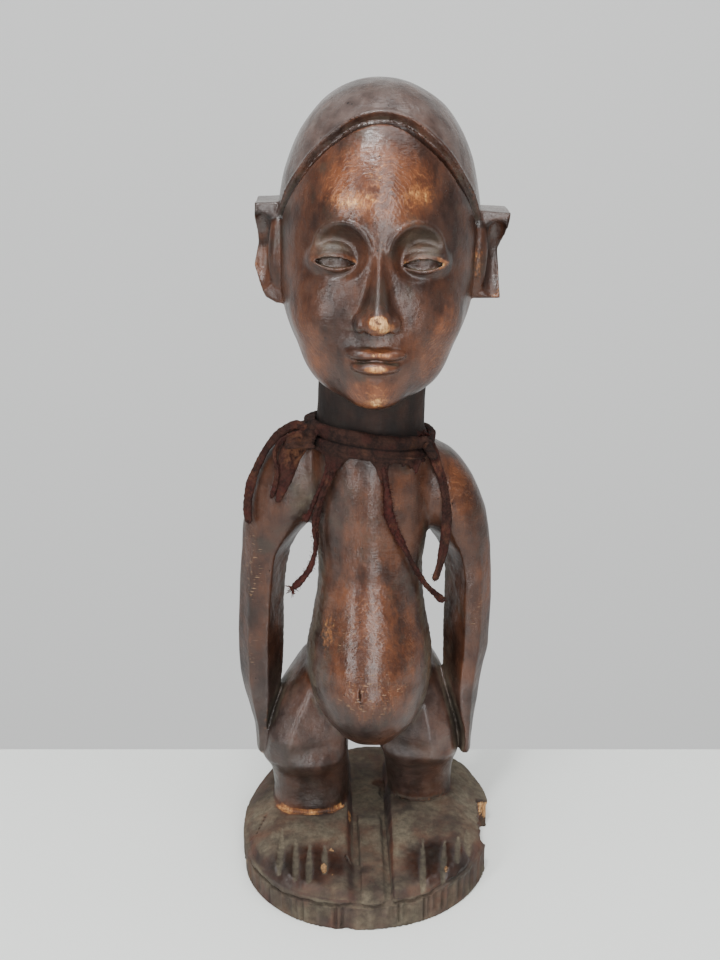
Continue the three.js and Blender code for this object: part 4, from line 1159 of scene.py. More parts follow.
def paint_wood(ob, G):
    P, Nn = points(ob), normals(ob)
    x, y, z = P.T
    d = 2.2
    conc = 1 - G.sample(P + Nn * d) / d
    d = 4.5
    conc2 = 1 - G.sample(P + Nn * d) / d
    d = 1.6
    conv = 1 + G.sample(P - Nn * d) / d
    n20, n8, n3 = noise(P, 18, 5), noise(P, (6, 6, 12), 6), noise(P, 3.2, 8)
    rs = np.random.RandomState(31)
    r = np.hypot(x, y)
    front = step(-Nn[:, 1], 0.0, 0.5)
    base = step(z, 27, 23)
    edge = step(conv, 0.3, 0.75)

    wear = np.zeros(len(P), f32)
    for c, rad, k, soft in (
        ((4, -36, 322), (38, 24, 24), 0.85, 0.8), ((2, -34, 104), (34, 32, 24), 0.66, 1.0), ((2, -28, 130), (34, 26, 52), 0.6, 1.0), ((0, -24, 162), (30, 20, 60), 0.4, 1.0),
        ((20, -20, 120), (14, 18, 34), 0.6, 0.9), ((43, -4, 186), (18, 18, 28), 0.8, 0.9), ((56, 2, 140), (9, 13, 50), 0.55, 0.9),
        ((30, -26, 256), (18, 20, 30), 0.9, 0.9), ((-24, -26, 256), (16, 20, 30), 0.8, 0.9), ((-56, 4, 120), (8, 16, 46), 0.35, 0.9),
        ((14, -22, 186), (14, 14, 20), 0.5, 0.9), ((-34, -18, 68), (18, 16, 20), 0.3, 0.9), ((34, -16, 66), (16, 16, 18), 0.34, 0.9),
        ((4, -48, 262), (14, 12, 26), 0.8, 0.9), ((-36, -8, 190), (12, 14, 22), 0.5, 0.9), ((4, -36, 238), (22, 14, 12), 0.9, 0.9),
    ):
        wear = np.maximum(wear, k * blob(P, c, rad, soft))
    wear = np.maximum(wear, 0.5 * edge * (1 - base))
    wear = np.clip(wear + 0.12 * n20 + 0.08 * n8, 0, 1)

    amber = np.zeros(len(P), f32)
    for c, rad, k, soft in (
        ((-6, -38, 316), (24, 20, 9), 0.86, 0.9), ((20, -36, 318), (16, 18, 10), 0.80, 0.9), ((5, -36, 326), (12, 18, 12), 0.6, 0.9),
        ((-2, -36, 98), (24, 24, 13), 0.36, 1.0), ((-17, -20, 126), (9, 14, 26), 0.66, 0.9), ((45, -3, 188), (9, 14, 20), 0.36, 1.0),
        ((5, -40, 301), (7, 12, 12), 0.45, 0.8), ((31, -26, 250), (12, 16, 18), 0.55, 0.9), ((-25, -26, 252), (11, 16, 20), 0.5, 0.9),
        ((-16, -30, 104), (10, 16, 12), 0.44, 0.9), ((17, -30, 93), (10, 16, 8), 0.36, 0.9), ((38, -16, 56), (8, 10, 9), 0.45, 0.9),
        ((46, -6, 288), (5, 7, 17), 0.66, 0.7), ((-38, -6, 288), (4, 6, 16), 0.4, 0.7), ((4, -38, 237), (12, 8, 9), 0.66, 0.9),
        ((29, -10, 102), (7, 18, 26), 0.62, 0.9), ((-43, -10, 66), (6, 12, 18), 0.62, 0.9), ((44, -8, 78), (6, 12, 16), 0.4, 0.9),
    ):
        amber = np.maximum(amber, k * blob(P, c, rad, soft))
    amber = np.maximum(amber, 0.66 * edge * (0.35 + 0.65 * (n8 > -0.05)) * (1 - 0.8 * base))
    hx, hz = to_head(x, z)
    hax = np.abs(hx)
    # the lids' rims and the brows' edges are rubbed bare
    alm = almond_field(hax, hz)
    face = step(z, 232, 240) * step(z, 330, 322) * step(-y, 22, 26)
    lid = face * step(np.abs(alm - 0.3), 1.1, 0.5) * (np.abs(hax - EYE_X) < 11)
    amber = np.maximum(amber, (0.44 + 0.34 * n3) * lid * (0.6 + 0.6 * step(hz, EYE_Z - 1, EYE_Z + 1.5)))
    leg = step(z, 24, 28) * step(z, 100, 84) * (1 - blob(P, (2, -30, 92), (34, 26, 36), 0.4))
    wear = np.clip(wear * (1 - 0.75 * base) * (1 - 0.45 * leg), 0, 1)
    amber = amber * (1 - 0.35 * leg)
    # where the leg meets the foot the wood is bare
    ank = plan_dist(P, ANKLES[0])
    ank = ank + 0.55 * n3 + 0.5 * n8
    bare = step(ank, 2.6, 0.9) * step(z, 19.4, 20.6) * step(z, 26, 24.4) * step(x, -45, -42) * step(x, -8, -11) * step(-y, -6, 2)
    amber = np.maximum(amber, (0.78 + 0.25 * n3) * bare)
    ank2 = plan_dist(P, ANKLES[1])
    amber = np.maximum(amber, 0.5 * step(ank2, 1.8, 0.2) * step(z, 20.5, 21.5) * step(z, 26, 24.6))
    amber = np.maximum(amber, 0.9 * blob(P, (-7.5, -6, 19), (1.8, 9, 6), 0.6))
    # rubbed ridges down the outer sides of the thighs
    for path in (((-41.5, 86), (-46.5, 72), (-49.5, 60), (-49.8, 52)), ((36.5, 88), (40.5, 76), (44.5, 62), (45.8, 52))):
        best = np.full(len(P), 9.0)
        for (a, b), (c, e) in zip(path, path[1:]):
            t = np.clip(((x - a) * (c - a) + (z - b) * (e - b)) / ((c - a) ** 2 + (e - b) ** 2), 0, 1)
            best = np.minimum(best, np.hypot(x - a - t * (c - a), z - b - t * (e - b)))
        amber = np.maximum(amber, 0.56 * step(best + 0.9 * n3 + 0.6 * n8, 2.8, 0.2) * step(-y, -2, 4) * front)
    amber = np.maximum(amber, 0.9 * blob(P, (-48.6, 3, 52), (3.2, 6, 3.4), 0.5))

    toes = toe_mask(P)
    deg = np.degrees(np.arctan2(y, x))
    rimmed = step(r - rim_radius(np.radians(deg)), -4.5, -2.5) * step(z, 16, 14) * base
    strokes = rim_strokes(deg, z) * rimmed
    amber = np.maximum(amber * (1 - 0.4 * rimmed), rimmed * np.clip(0.10 + 0.4 * n8 + 0.3 * n20, 0, 0.6) * (1 - step(strokes, 0.25, 0.6)))
    raw = np.zeros(len(P), f32)
    gone = step(x, 53.6, 54.6) * step(y, -20.5, -18.5) * step(y, 18, 15.5) * step(z, 17, 14)
    raw = np.maximum(raw, (0.6 + 0.25 * n3) * gone * (y > 11) * step(z, 3, 6))
    raw = np.maximum(raw, 0.26 * gone)
    amber = np.maximum(amber, 0.5 * gone)
    raw = np.maximum(raw, 0.5 * blob(P, (-57, -24, 7), (5, 6, 5), 0.5) * (n3 > -0.2))
    for c, q in (((-18.8, -45, 18.4), (1.6, 4.4, 2)), ((-15.6, -34.5, 20.6), (1.1, 1.1, 1)), ((-13.2, -50.4, 18.6), (2.2, 0.8, 1)),
                 ((-9.6, -42, 19), (0.6, 0.6, 1)), ((-22.5, -50.6, 18.4), (0.5, 0.5, 1)), ((36.6, -44.6, 18.4), (1.1, 2.2, 1.6))):
        raw = np.maximum(raw, 1.2 * blob(P, c, q, 0.3))
    raw = np.maximum(raw, 0.62 * dashes(P, rs, 16, (-58, -10, 130), (-46, 0, 178), 6.5, 0.7, (1, 0, 0.12)))
    raw = np.maximum(raw, 0.56 * blob(P, (-25, -12, 186), (9, 9, 15), 0.8) * step(n3, 0.0, 0.3))
    # the face's highest places are worn to the wood
    nose = np.maximum(blob(P, (4.8, -52.5, 271), (7.6, 7, 5.4), 0.6), 0.9 * blob(P, (8, -50, 268.4), (7, 6, 4), 0.6))
    lips = np.maximum(blob(P, (4.6, -46, 250.6), (13, 4.4, 4.2), 0.7), 0.9 * blob(P, (6, -46, 257), (10, 3.6, 2.8), 0.6))
    raw = np.maximum(raw, (0.55 + 0.35 * n3) * nose)
    raw = np.maximum(raw, (0.36 + 0.42 * n3) * lips)
    raw = np.maximum(raw, (0.38 + 0.5 * n3) * blob(P, (4.6, -37, 234.5), (12, 6, 6), 0.8))
    amber = np.maximum(amber, 0.95 * np.maximum(np.maximum(nose, lips), 0.8 * blob(P, (4.6, -37, 235), (13, 7, 7), 0.8)))
    for c, q in (((25, -17, 123), (1.0, 2, 1.4)), ((14, -26, 137.5), (0.7, 2, 1.0)), ((-4.8, -36, 95), (1.2, 2, 0.6)), ((4.6, -33, 86.5), (1.5, 2, 0.6)),
                 ((-1.5, -37, 103.5), (0.8, 2, 0.5)), ((12, -20.5, 189), (0.9, 2, 1.2))):
        raw = np.maximum(raw, 1.1 * blob(P, c, q, 0.4))

    scuff = np.zeros(len(P), f32)
    for c, rad, k in (
        ((-54, -2, 150), (14, 16, 36), 0.9), ((-52, 0, 104), (10, 14, 26), 0.5), ((52, -2, 128), (12, 16, 44), 0.5), ((3, -34, 101), (26, 16, 20), 0.95),
        ((-8, -26, 130), (22, 16, 26), 0.5), ((6, -22, 172), (18, 12, 24), 0.42), ((-26, -12, 186), (12, 10, 20), 0.7), ((-30, -20, 66), (18, 12, 18), 0.5),
        ((32, -18, 66), (16, 12, 18), 0.5), ((20, -36, 312), (24, 16, 18), 0.3), ((28, -14, 106), (8, 18, 22), 0.75),
    ):
        scuff = np.maximum(scuff, k * blob(P, c, rad, 0.9))

    dust = 0.62 * step(conc2, 0.45, 0.95)
    deck = step(Nn[:, 2], 0.5, 0.9) * base
    polished = np.maximum(blob(P, (-26, -42, 18), (27, 19, 9), 0.6), blob(P, (34, -40, 18), (25, 21, 9), 0.6)) * base
    dust = np.maximum(dust, deck * np.clip(0.66 + 0.34 * n20 + 0.22 * n8, 0, 1) * (1 - 0.85 * polished))
    bar = step(x, -5.5, -4) * step(x, 11.5, 10) * step(y, 0, -6) * base * step(z, 12, 14)
    dust = np.maximum(dust, bar * np.clip(0.72 + 0.3 * n8 + 0.2 * n20, 0, 1))
    wear, amber = wear * (1 - 0.92 * polished), amber * (1 - 0.92 * polished)
    dust = np.maximum(dust, 0.72 * rimmed * np.clip(0.75 + 0.5 * noise(P, (9, 9, 14), 91), 0, 1))
    dust = np.maximum(dust, 0.42 * np.maximum(blob(P, (-12.4, -34, 299), (14, 14, 10), 0.6), blob(P, (22.6, -34, 299), (14, 14, 10), 0.6)))
    flank = step(np.abs(Nn[:, 0]), 0.8, 0.95) * step(z, 70, 90) * step(z, 200, 185) * step(np.abs(x - 1), 42, 38)
    dust = np.maximum(dust, 0.55 * flank)
    dust = np.maximum(dust, 0.5 * blob(P, (-27, -8, 184), (12, 12, 20), 0.7))
    dust = np.maximum(dust, 0.35 * step(z, 56, 46) * step(z, 22, 30) * (0.5 + 0.5 * n20))
    hl = hairline_points(P)
    reach = 1.9 + 1.1 * step(hx, 0, 25)
    groove = step(hl, 0.1, 0.7) * step(hl, reach + 0.6, reach - 0.4) * step(z, 262, 275)
    dust = dust * (1 - 0.9 * groove)
    dust = np.maximum(dust, 0.95 * toes)
    dust = dust * (1 - 0.8 * np.clip(raw, 0, 1)) * (1 - 0.85 * bare)

    # the wood's own tone, with painted shade on the downward faces under the collar
    tone_and_shade = 0.5 + 0.07 * n20 + 0.03 * n3 - 0.08 * step(z, 206, 214) * step(-y, 12, 24) * step(-Nn[:, 2], 0.1, 0.6)
    tone_and_shade = tone_and_shade + 0.05 * blob(P, (34, -20, 70), (18, 20, 20), 0.9) - 0.09 * step(z, 24, 30) * step(z, 96, 76) * (1 - blob(P, (2, -30, 88), (34, 24, 34), 0.5)) - 0.11 * step(z, 60, 40) * step(z, 20, 24) * (1 - flank)
    # painted shade in the groove under the cap's edge (the groove term); the rest is the wood's own tone
    tone_and_shade = tone_and_shade - 0.02 * rimmed + 0.13 * noise(P, (30, 30, 40), 93) * (1 - base) - 0.40 * groove - 0.38 * polished - 0.07 * bar
    # painted shade under the belly's bulge (first term); the lower belly's front is darker as well
    tone_and_shade = tone_and_shade - 0.17 * blob(P, (3, -30, 74), (34, 32, 19), 0.9) - 0.13 * blob(P, (3, -34, 96), (34, 24, 24), 1.0)
    # painted shade down the trunk's flanks, darker where the rounded sides turn away from the light
    tone_and_shade = tone_and_shade - 0.07 * step(np.abs(x - 2), 10, 26) * step(z, 84, 100) * step(z, 206, 190) * (1 - step(np.abs(x - 1), 38, 44))
    tone_and_shade = tone_and_shade - 0.16 * step(np.abs(x - 1), 38, 44) * step(z, 55, 70) * step(z, 215, 200) - 0.09 * blob(P, (44, 0, 190), (16, 24, 26), 0.8)
    wear, amber = wear * (1 - 0.8 * groove), amber * (1 - 0.8 * groove)
    # painted shade on the neck, under the chin and the collar
    tone_and_shade = tone_and_shade - 0.46 * step(z, 203, 214) * step(z, 250, 238) * step(np.hypot(x - 4, y - 6), 30, 26)
    tone_and_shade = tone_and_shade + 0.10 * toes
    # painted shade in the ragged hollow by the right leg
    tone_and_shade = tone_and_shade - 0.12 * blob(P, (7, 24, 17), (5, 14, 8), 0.7)
    cap = step(-hairline_points(P), -0.2, 0.6) * step(z, 250, 262)
    wear, amber = wear * (1 - 0.92 * cap), amber * (1 - 0.8 * cap)
    # painted sheen: a grey-brown skin over the cap, thighs, chest, arm and cheeks; on the legs and rim the same layer
    # gives a greyer tone
    grey_tone_and_sheen = 0.72 * cap
    for c, rad, k in (((-30, -18, 66), (20, 18, 26), 0.5), ((32, -16, 66), (20, 18, 26), 0.75), ((-54, 0, 150), (16, 20, 60), 0.16),
                      ((2, -24, 180), (30, 18, 34), 0.32), ((4, -30, 80), (26, 26, 14), 0.3), ((-8, -26, 140), (16, 18, 26), 0.3), ((3, -30, 126), (30, 20, 20), 0.26),
                      ((-20, -34, 282), (14, 16, 20), 0.3), ((30, -34, 272), (10, 16, 14), 0.3)):
        grey_tone_and_sheen = np.maximum(grey_tone_and_sheen, k * blob(P, c, rad, 0.9))
    grey_tone_and_sheen = np.maximum(grey_tone_and_sheen, np.maximum(0.28 * rimmed, 0.42 * leg))
    grey_tone_and_sheen = grey_tone_and_sheen * (1 - 0.8 * raw)
    gloss = np.clip(0.40 + 0.36 * blob(P, (3, -34, 140), (34, 26, 80), 0.5) - 0.16 * blob(P, (3, -36, 96), (30, 20, 22), 0.7) + 0.9 * blob(P, (4, -36, 328), (44, 40, 26), 0.5) + 0.25 * step(z, 60, 90) + 0.3 * cap, 0, 1)
    gloss = gloss * (1 - 0.8 * base * (1 - 0.9 * polished)) * (1 - 0.9 * step(z, 203, 214) * step(z, 250, 238) * step(np.hypot(x - 4, y - 6), 30, 26))
    # the concavity layer below is painted shade: recesses and the rim's chisel cuts darkened
    for name, v in (("wear", wear), ("amber", amber), ("raw", raw), ("scuff", scuff), ("grey_tone_and_sheen", grey_tone_and_sheen), ("dust", np.clip(dust, 0, 1)),
                    ("cavity_shade", np.maximum(step(conc, 0.4, 1.0) * (1 - 0.9 * toes) * (1 - 0.8 * bare) * (1 - 0.55 * bar) * (1 - 0.3 * rimmed), 0.7 * step(strokes, 0.35, 1.3) * np.clip(0.62 + 0.9 * n8, 0, 1))), ("tone_and_shade", np.clip(tone_and_shade, 0, 1)), ("gloss", gloss)):
        paint(ob, name, v)


# ======================================================================================================================
# 5. The hide: a rolled collar, its fringed band and lappet, and the thongs that hang from it
# ======================================================================================================================
def outline_field(U, V, pts):
    """Signed distance to a closed outline in a plane, negative inside."""
    best = np.full(np.broadcast(U, V).shape, 1e9, f32)
    inside = np.zeros(best.shape, bool)
    for (a, b), (c, e) in zip(pts, pts[1:] + pts[:1]):
        ux, uy = c - a, e - b
        t = np.clip(((U - a) * ux + (V - b) * uy) / (ux * ux + uy * uy + 1e-9), 0, 1)
        best = np.minimum(best, (U - a - t * ux) ** 2 + (V - b - t * uy) ** 2)
        cross = ((b <= V) & (V < e)) | ((e <= V) & (V < b))
        with np.errstate(divide="ignore", invalid="ignore"):
            at = a + (V - b) / (e - b if e != b else 1e-9) * ux
        inside ^= cross & (U < at)
    best = np.sqrt(best)
    return np.where(inside, -best, best).astype(f32)


BAND = [
    (-25, 219), (31, 216), (31, 210), (29.5, 207), (27.5, 204), (26.2, 206.4), (23.9, 206.6), (22.6, 202), (21.2, 198.8),
    (20.0, 200.2), (19, 200.4), (17.6, 203), (15.9, 201.8), (14.6, 204.6), (12.8, 205), (11.2, 203), (9.9, 203.6),
    (9.2, 200.4), (8.9, 197.2), (5.6, 197.2), (5.0, 200.6), (3.8, 203.2), (1.6, 205.6), (-1.2, 207.5), (-4, 208.3),
    (-6.6, 207.4), (-8.4, 205.4), (-9.6, 202.8), (-12.3, 200.0), (-13.6, 196.6), (-16.4, 196.6), (-16.4, 200), (-16.9, 203.4),
    (-17.6, 206.4), (-20.0, 209.3), (-22.2, 213),
]
LAPPET = [
    (-22, 219), (-28, 217), (-31.9, 213), (-35.5, 207.6), (-37.9, 202.6), (-38.9, 198.6), (-38.2, 193.6), (-38.9, 187.4),
    (-39.4, 181.6), (-37.6, 182.6), (-35.6, 187.0), (-33.5, 190.8), (-31.9, 195.2), (-30.2, 199.6), (-28.4, 203),
    (-26.4, 206), (-23.8, 208.6), (-21.6, 211.2),
]


def ring_at(phi, upper):
    """One of the collar's two turns: distance from the neck's axis, height, half-thickness, half-height."""
    c, s = np.cos(phi), np.sin(phi)
    if upper:
        return (26.9 + 0.4 * c + 0.15 * np.sin(3 * phi), 211.3 - 3.3 * c - 2.9 * s + 0.25 * np.sin(2 * phi + 1),
                2.15 + 0.12 * np.sin(2 * phi) + 0.1 * np.sin(5 * phi), 3.2 + 0.25 * np.sin(3 * phi + 1))
    return (26.5 + 0.2 * np.sin(2 * phi), 205.9 - 2.9 * c - 2.7 * s + 0.3 * np.sin(3 * phi),
            1.9 + 0.12 * np.sin(3 * phi + 2), 2.7 + 0.2 * np.sin(2 * phi))


def turn(rho, Z, ring):
    """Distance to a flattened roll."""
    r, z, wide, tall = ring
    return (np.sqrt(((rho - r) / wide) ** 2 + ((Z - z) / tall) ** 2) - 1) * wide


def capsule(X, Y, Z, a, b, ra, rb):
    ax, ay, az = (f32(v) for v in a)
    ux, uy, uz = (f32(q - p) for p, q in zip(a, b))
    t = np.clip(((X - ax) * ux + (Y - ay) * uy + (Z - az) * uz) / (ux * ux + uy * uy + uz * uz), 0, 1)
    return np.sqrt((X - ax - t * ux) ** 2 + (Y - ay - t * uy) ** 2 + (Z - az - t * uz) ** 2) - (ra + (rb - ra) * t)


def collar_field(G):
    C = Field([-45, -32, 178], [39, 39, 225], 0.46)
    X, Y, Z = C.ax[0][:, None, None], C.ax[1][None, :, None], C.ax[2][None, None, :]
    shape = tuple(C.n)
    body = np.empty(shape, f32)
    yz = np.stack(np.meshgrid(C.ax[1], C.ax[2], indexing="ij"), -1).reshape(-1, 2)
    for i, xx in enumerate(C.ax[0]):
        P = np.concatenate([np.full((len(yz), 1), xx), yz], 1)
        body[i] = G.sample(P).reshape(shape[1:])
    phi = np.arctan2(Y - 6, X - 1.7)
    rho = np.sqrt((Y - 6) ** 2 + (X - 1.7) ** 2)
    wave = (0.35 * np.sin(phi * 7) * np.sin(phi * 3 + 1)).astype(f32)
    turns = []
    for upper in (False, True):
        turns.append(turn(rho, Z, ring_at(phi, upper)).astype(f32))
    low, high = turns
    hull = smin(body, low + 2.9, 5.0)
    r_low, z_low = ring_at(phi, False)[:2]
    U, W = C.ax[0][:, None], C.ax[2][None, :]
    pts2 = np.stack(np.broadcast_arrays(U, 0 * U * W, W), -1).reshape(-1, 3)
    ragged = (0.42 * noise(pts2, 1.9, 61) + 0.25 * noise(pts2, 0.8, 62)).reshape(len(C.ax[0]), len(C.ax[2]))
    band = (outline_field(U, W, BAND) + ragged)[:, None, :]
    lap = (outline_field(U, W, LAPPET) + ragged * 0.8)[:, None, :]
    sheet = np.abs(hull - 1.15) - 0.8
    front = Y - 9
    F = smax(smax(sheet, band, 0.35), front, 0.5)
    F = np.maximum(F, Z - z_low + 0.5)
    lift = np.abs(hull - 1.5 - 0.8 * np.exp(-((lap + 2.2) / 1.4) ** 2)) - 0.8
    F = smin(F, smax(smax(lift, lap, 0.35), Y - 7, 0.5), 0.6)
    F = smin(F, low, 0.25)
    # a third, thinner fold that runs out toward the figure's right side
    fold = (np.sqrt((rho - r_low - 0.9) ** 2 + (Z - z_low + 2.6 + 0.6 * np.cos(phi)) ** 2) - 0.95).astype(f32)
    F = smin(F, np.maximum(fold, Y - 2), 0.5)
    F = smin(F, high, 0.12)
    # the crease between the turns
    r_up, z_up = ring_at(phi, True)[:2]
    crease = np.sqrt(((rho - r_up - 2.4) * 0.55) ** 2 + (Z - z_up + 3.0 + wave) ** 2) - 0.62
    F = smax(F, -crease.astype(f32), 0.25)
    # where the thongs leave the band
    for a, b, ra, rb in (
        ((-23.0, -10.8, 214.0), (-25.4, -7.0, 213.4), 2.0, 1.6),
        ((25.0, -13.2, 212.0), (29.4, -10.6, 204.0), 2.0, 1.7),
        ((-23.6, -6.4, 215.4), (-28.2, -4.4, 216.0), 1.8, 1.5),
        ((-25.0, -6.5, 213.6), (-30.0, -5.0, 212.8), 1.2, 0.9),
        ((23.4, -14.0, 203.4), (21.6, -15.8, 198.4), 0.9, 0.6),
    ):
        F = smin(F, capsule(X, Y, Z, a, b, ra, rb), 1.4)
    # the rolled edges that run on into the thongs
    for path in (((-14.8, 197), (-13.4, 200.2), (-11.2, 203.0), (-9.2, 205.9), (-6.8, 208.0), (-4, 208.9), (-1.2, 208.1), (1.8, 206.2),
                  (4.2, 203.6), (5.9, 200.8), (7.0, 197)), ((-15.6, 197), (-16.0, 200.4), (-16.4, 203.6), (-17.2, 206.6), (-19.4, 209.4), (-21.6, 212)),
                 ((8.2, 197), (8.5, 200.4), (9.2, 203.4), (11.0, 204.4))):
        pts = []
        for ex, ez in path:
            ys = np.linspace(-34, 0, 200)
            d = G.sample(np.stack([np.full(200, ex), ys, np.full(200, ez)], 1))
            pts.append((ex, ys[np.argmax(d < 1.3)], ez))
        for a, b in zip(pts, pts[1:]):
            F = smin(F, capsule(X, Y, Z, a, b, 0.95, 0.95), 0.5)
    # the lappet's rolled edge
    edge = [(-22.6, 210.6), (-26.4, 206.4), (-29.0, 202.4), (-30.9, 198), (-33.4, 191.6), (-35.8, 187), (-38.2, 183.2)]
    pts = []
    for ex, ez in edge:
        ys = np.linspace(-30, 10, 160)
        d = G.sample(np.stack([np.full(160, ex), ys, np.full(160, ez)], 1))
        hit = np.argmax(d < 2.0)
        pts.append((ex, ys[hit], ez))
    for a, b in zip(pts, pts[1:]):
        F = smin(F, capsule(X, Y, Z, a, b, 1.15, 1.15), 0.5)
    F = smax(F, 0.12 - body, 0.25)
    C.F = F.astype(f32)
    return C


def biggest(V, Q):
    """The largest connected part of a mesh."""
    lab = np.arange(len(V))
    for _ in range(400):
        m = lab[Q].min(1)
        new = lab.copy()
        for k in range(Q.shape[1]):
            np.minimum.at(new, Q[:, k], m)
        new = new[new]
        if (new == lab).all():
            break
        lab = new
    names, count = np.unique(lab, return_counts=True)
    keep = lab == names[count.argmax()]
    ids = np.cumsum(keep) - 1
    return V[keep], ids[Q[keep[Q].all(1)]]


def fibre(pts, r0, r1, sides=4):
    """A thin tapering thread along pts, closed at both ends."""
    pts = np.array(pts, float)
    n = len(pts)
    t = np.gradient(pts, axis=0)
    t /= np.maximum(np.linalg.norm(t, axis=1), 1e-9)[:, None]
    u = np.cross(t, (0.3, 0.5, 0.81))
    u /= np.maximum(np.linalg.norm(u, axis=1), 1e-9)[:, None]
    w = np.cross(t, u)
    a = np.arange(sides) * 2 * math.pi / sides
    r = np.linspace(r0, r1, n)[:, None, None]
    ring = pts[:, None] + r * (u[:, None] * np.cos(a)[None, :, None] + w[:, None] * np.sin(a)[None, :, None])
    V = [ring.reshape(-1, 3), pts[:1], pts[-1:]]
    F = []
    for i in range(n - 1):
        for k in range(sides):
            k2 = (k + 1) % sides
            F.append((i * sides + k, i * sides + k2, (i + 1) * sides + k2, (i + 1) * sides + k))
    e0, e1 = n * sides, n * sides + 1
    T = []
    for k in range(sides):
        k2 = (k + 1) % sides
        T.append((e0, k2, k))
        T.append((e1, (n - 1) * sides + k, (n - 1) * sides + k2))
    return np.concatenate(V), F, T


def tassel(rs, at, way, count, length, thick, spread, curl=0.5):
    """A bunch of loose threads that leave one place."""
    out = []
    way = np.array(way, float)
    for _ in range(count):
        d = way + rs.normal(0, spread, 3)
        d /= np.linalg.norm(d)
        ln = length * rs.uniform(0.45, 1.1)
        p = np.array(at, float) + rs.normal(0, 0.35, 3)
        pts = [p - d * 0.8]
        bend = rs.normal(0, curl, 3)
        for k in range(5):
            pts.append(p)
            d = d + bend * 0.35 + np.array([0, 0, -0.06])
            d /= np.linalg.norm(d)
            p = p + d * ln / 5
        r = thick * rs.uniform(0.6, 1.2)
        out.append(fibre(pts, r, r * 0.45))
    return out


def to_mesh(name, parts):
    """One object from (points, quads, triangles) parts."""
    Vs, F, base = [], [], 0
    for V, Q, T in parts:
        Vs.append(V)
        F += [tuple(int(base + i) for i in q) for q in Q]
        F += [tuple(int(base + i) for i in t) for t in T]
        base += len(V)
    me = bpy.data.meshes.new(name)
    me.from_pydata((np.concatenate(Vs) / 1000).tolist(), [], F)
    me.validate()
    me.shade_smooth()
    ob = bpy.data.objects.new(name, me)
    bpy.context.scene.collection.objects.link(ob)
    return ob


def hide_material():
    S = Shader("old_hide")
    red, dry, deep = S.attr("red"), S.attr("dry"), S.attr("deep")
    n1 = S.noise(4.5, 4, 0.6, seed=1)
    n2 = S.noise(0.8, 3, 0.6, seed=2)
    col = S.mix(S.rng(n1, 0.35, 0.65), lin(22, 13, 11), lin(44, 28, 23))
    col = S.mix(S.mul(S.rng(n2, 0.4, 0.7), 0.3), col, lin(62, 40, 33))
    col = S.mix(S.mul(red, S.rng(S.noise(1.6, 3, 0.6, seed=4), 0.25, 0.6)), col, lin(56, 24, 21))
    col = S.mix(S.mul(dry, S.rng(S.noise(2.4, 4, 0.65, seed=6), 0.35, 0.65)), col, lin(92, 60, 42))
    # painted shade: near black in the hide's folds and along the creases between its turns; on the thongs this layer
    # holds only random dark flecks
    col = S.mix(S.mul(deep, 0.7), col, lin(14, 8, 8))
    S.put(S.bsdf.inputs["Base Color"], col)
    S.put(S.bsdf.inputs["Roughness"], S.add(0.78, S.mul(n1, 0.2)))
    S.bsdf.inputs["Specular IOR Level"].default_value = 0.14
    S.bump([(S.noise((2.0, 2.0, 3.2), 4, 0.6, seed=8), 0.5), (S.noise((2.6, 2.6, 0.7), 4, 0.65, seed=10), 0.3), (S.noise(0.45, 4, 0.7, seed=9), 0.3)])
    return S.mat


def make_collar(G, mat):
    C = collar_field(G)
    V, Q = surface_nets(C)
    V, Q = biggest(V, Q)
    V = settle(C, V)
    N = C.gradient(V, C.h)
    N /= np.maximum(np.linalg.norm(N, axis=1), 1e-6)[:, None]
    x, y, z = V.T
    phi = np.arctan2(y - 6, x - 1.7)
    rho = np.hypot(x - 1.7, y - 6)
    r0, z0 = ring_at(phi, True)[:2]
    on_ring = np.minimum(turn(rho, z, ring_at(phi, True)), turn(rho, z, ring_at(phi, False))) < 0.25
    th = np.arctan2(z - z0, rho - r0)
    d = 0.22 * noise(V, (2.6, 2.6, 6), 71) + 0.16 * noise(V, 1.1, 72) + 0.10 * noise(V, 0.6, 76)
    d = d + on_ring * (0.10 * np.sin(th * 2 + phi * 5 + 2 * noise(V, 9, 73)) + 0.35 * noise(V, (7, 7, 1.6), 77) - 0.04)
    V = V + N * d[:, None]
    rs = np.random.RandomState(11)
    parts = [(V, Q, [])]
    nc = len(V)
    parts += tassel(rs, (24.4, -11.0, 213.6), (0.1, -0.35, 0.9), 26, 5.4, 0.26, 0.45, 0.8)
    parts += tassel(rs, (26.0, -9.4, 212.8), (0.7, -0.4, 0.6), 14, 4.0, 0.24, 0.4, 0.8)
    ob = to_mesh("hide_collar_roll", parts)
    P = points(ob)
    x, y, z = P.T
    tuft = (np.arange(len(P)) >= nc).astype(f32)
    nrm = normals(ob)
    conc = 1 - C.sample(P + nrm * 1.3) / 1.3
    body = G.sample(P)
    red = np.clip(0.4 * step(z, 205, 198) + 0.8 * tuft + 0.3 * step(noise(P, 6, 74), 0.1, 0.45), 0, 1)
    dry = 0.8 * blob(P, (-30, -8, 206), (8, 14, 10), 0.7) + 0.25 * step(noise(P, 5, 75), 0.1, 0.6)
    # painted shade in the hollows of the collar
    deep = step(conc, 0.45, 1.0) * (1 - tuft)
    phi = np.arctan2(y - 6, x - 1.7)
    rho = np.hypot(x - 1.7, y - 6)
    r0, z0 = ring_at(phi, True)[:2]
    wave = 0.35 * noise(P, (6, 6, 30), 78)
    # painted shade along the crease between the two turns and along the lower fold
    deep = np.maximum(deep, (1 - tuft) * step(np.abs(z - z0 + 3.0 + wave), 0.75, 0.2) * (rho > r0 - 0.6) * step(x, -21, -12))
    deep = np.maximum(deep, 0.8 * (1 - tuft) * step(np.abs(z - z0 + 6.6 + wave), 0.5, 0.1) * (rho > r0 - 2) * step(x, 2, 8))
    paint(ob, "red", red)
    paint(ob, "dry", np.clip(dry, 0, 1))
    paint(ob, "deep", np.clip(deep, 0, 1))
    ob.data.materials.append(mat)
    return ob


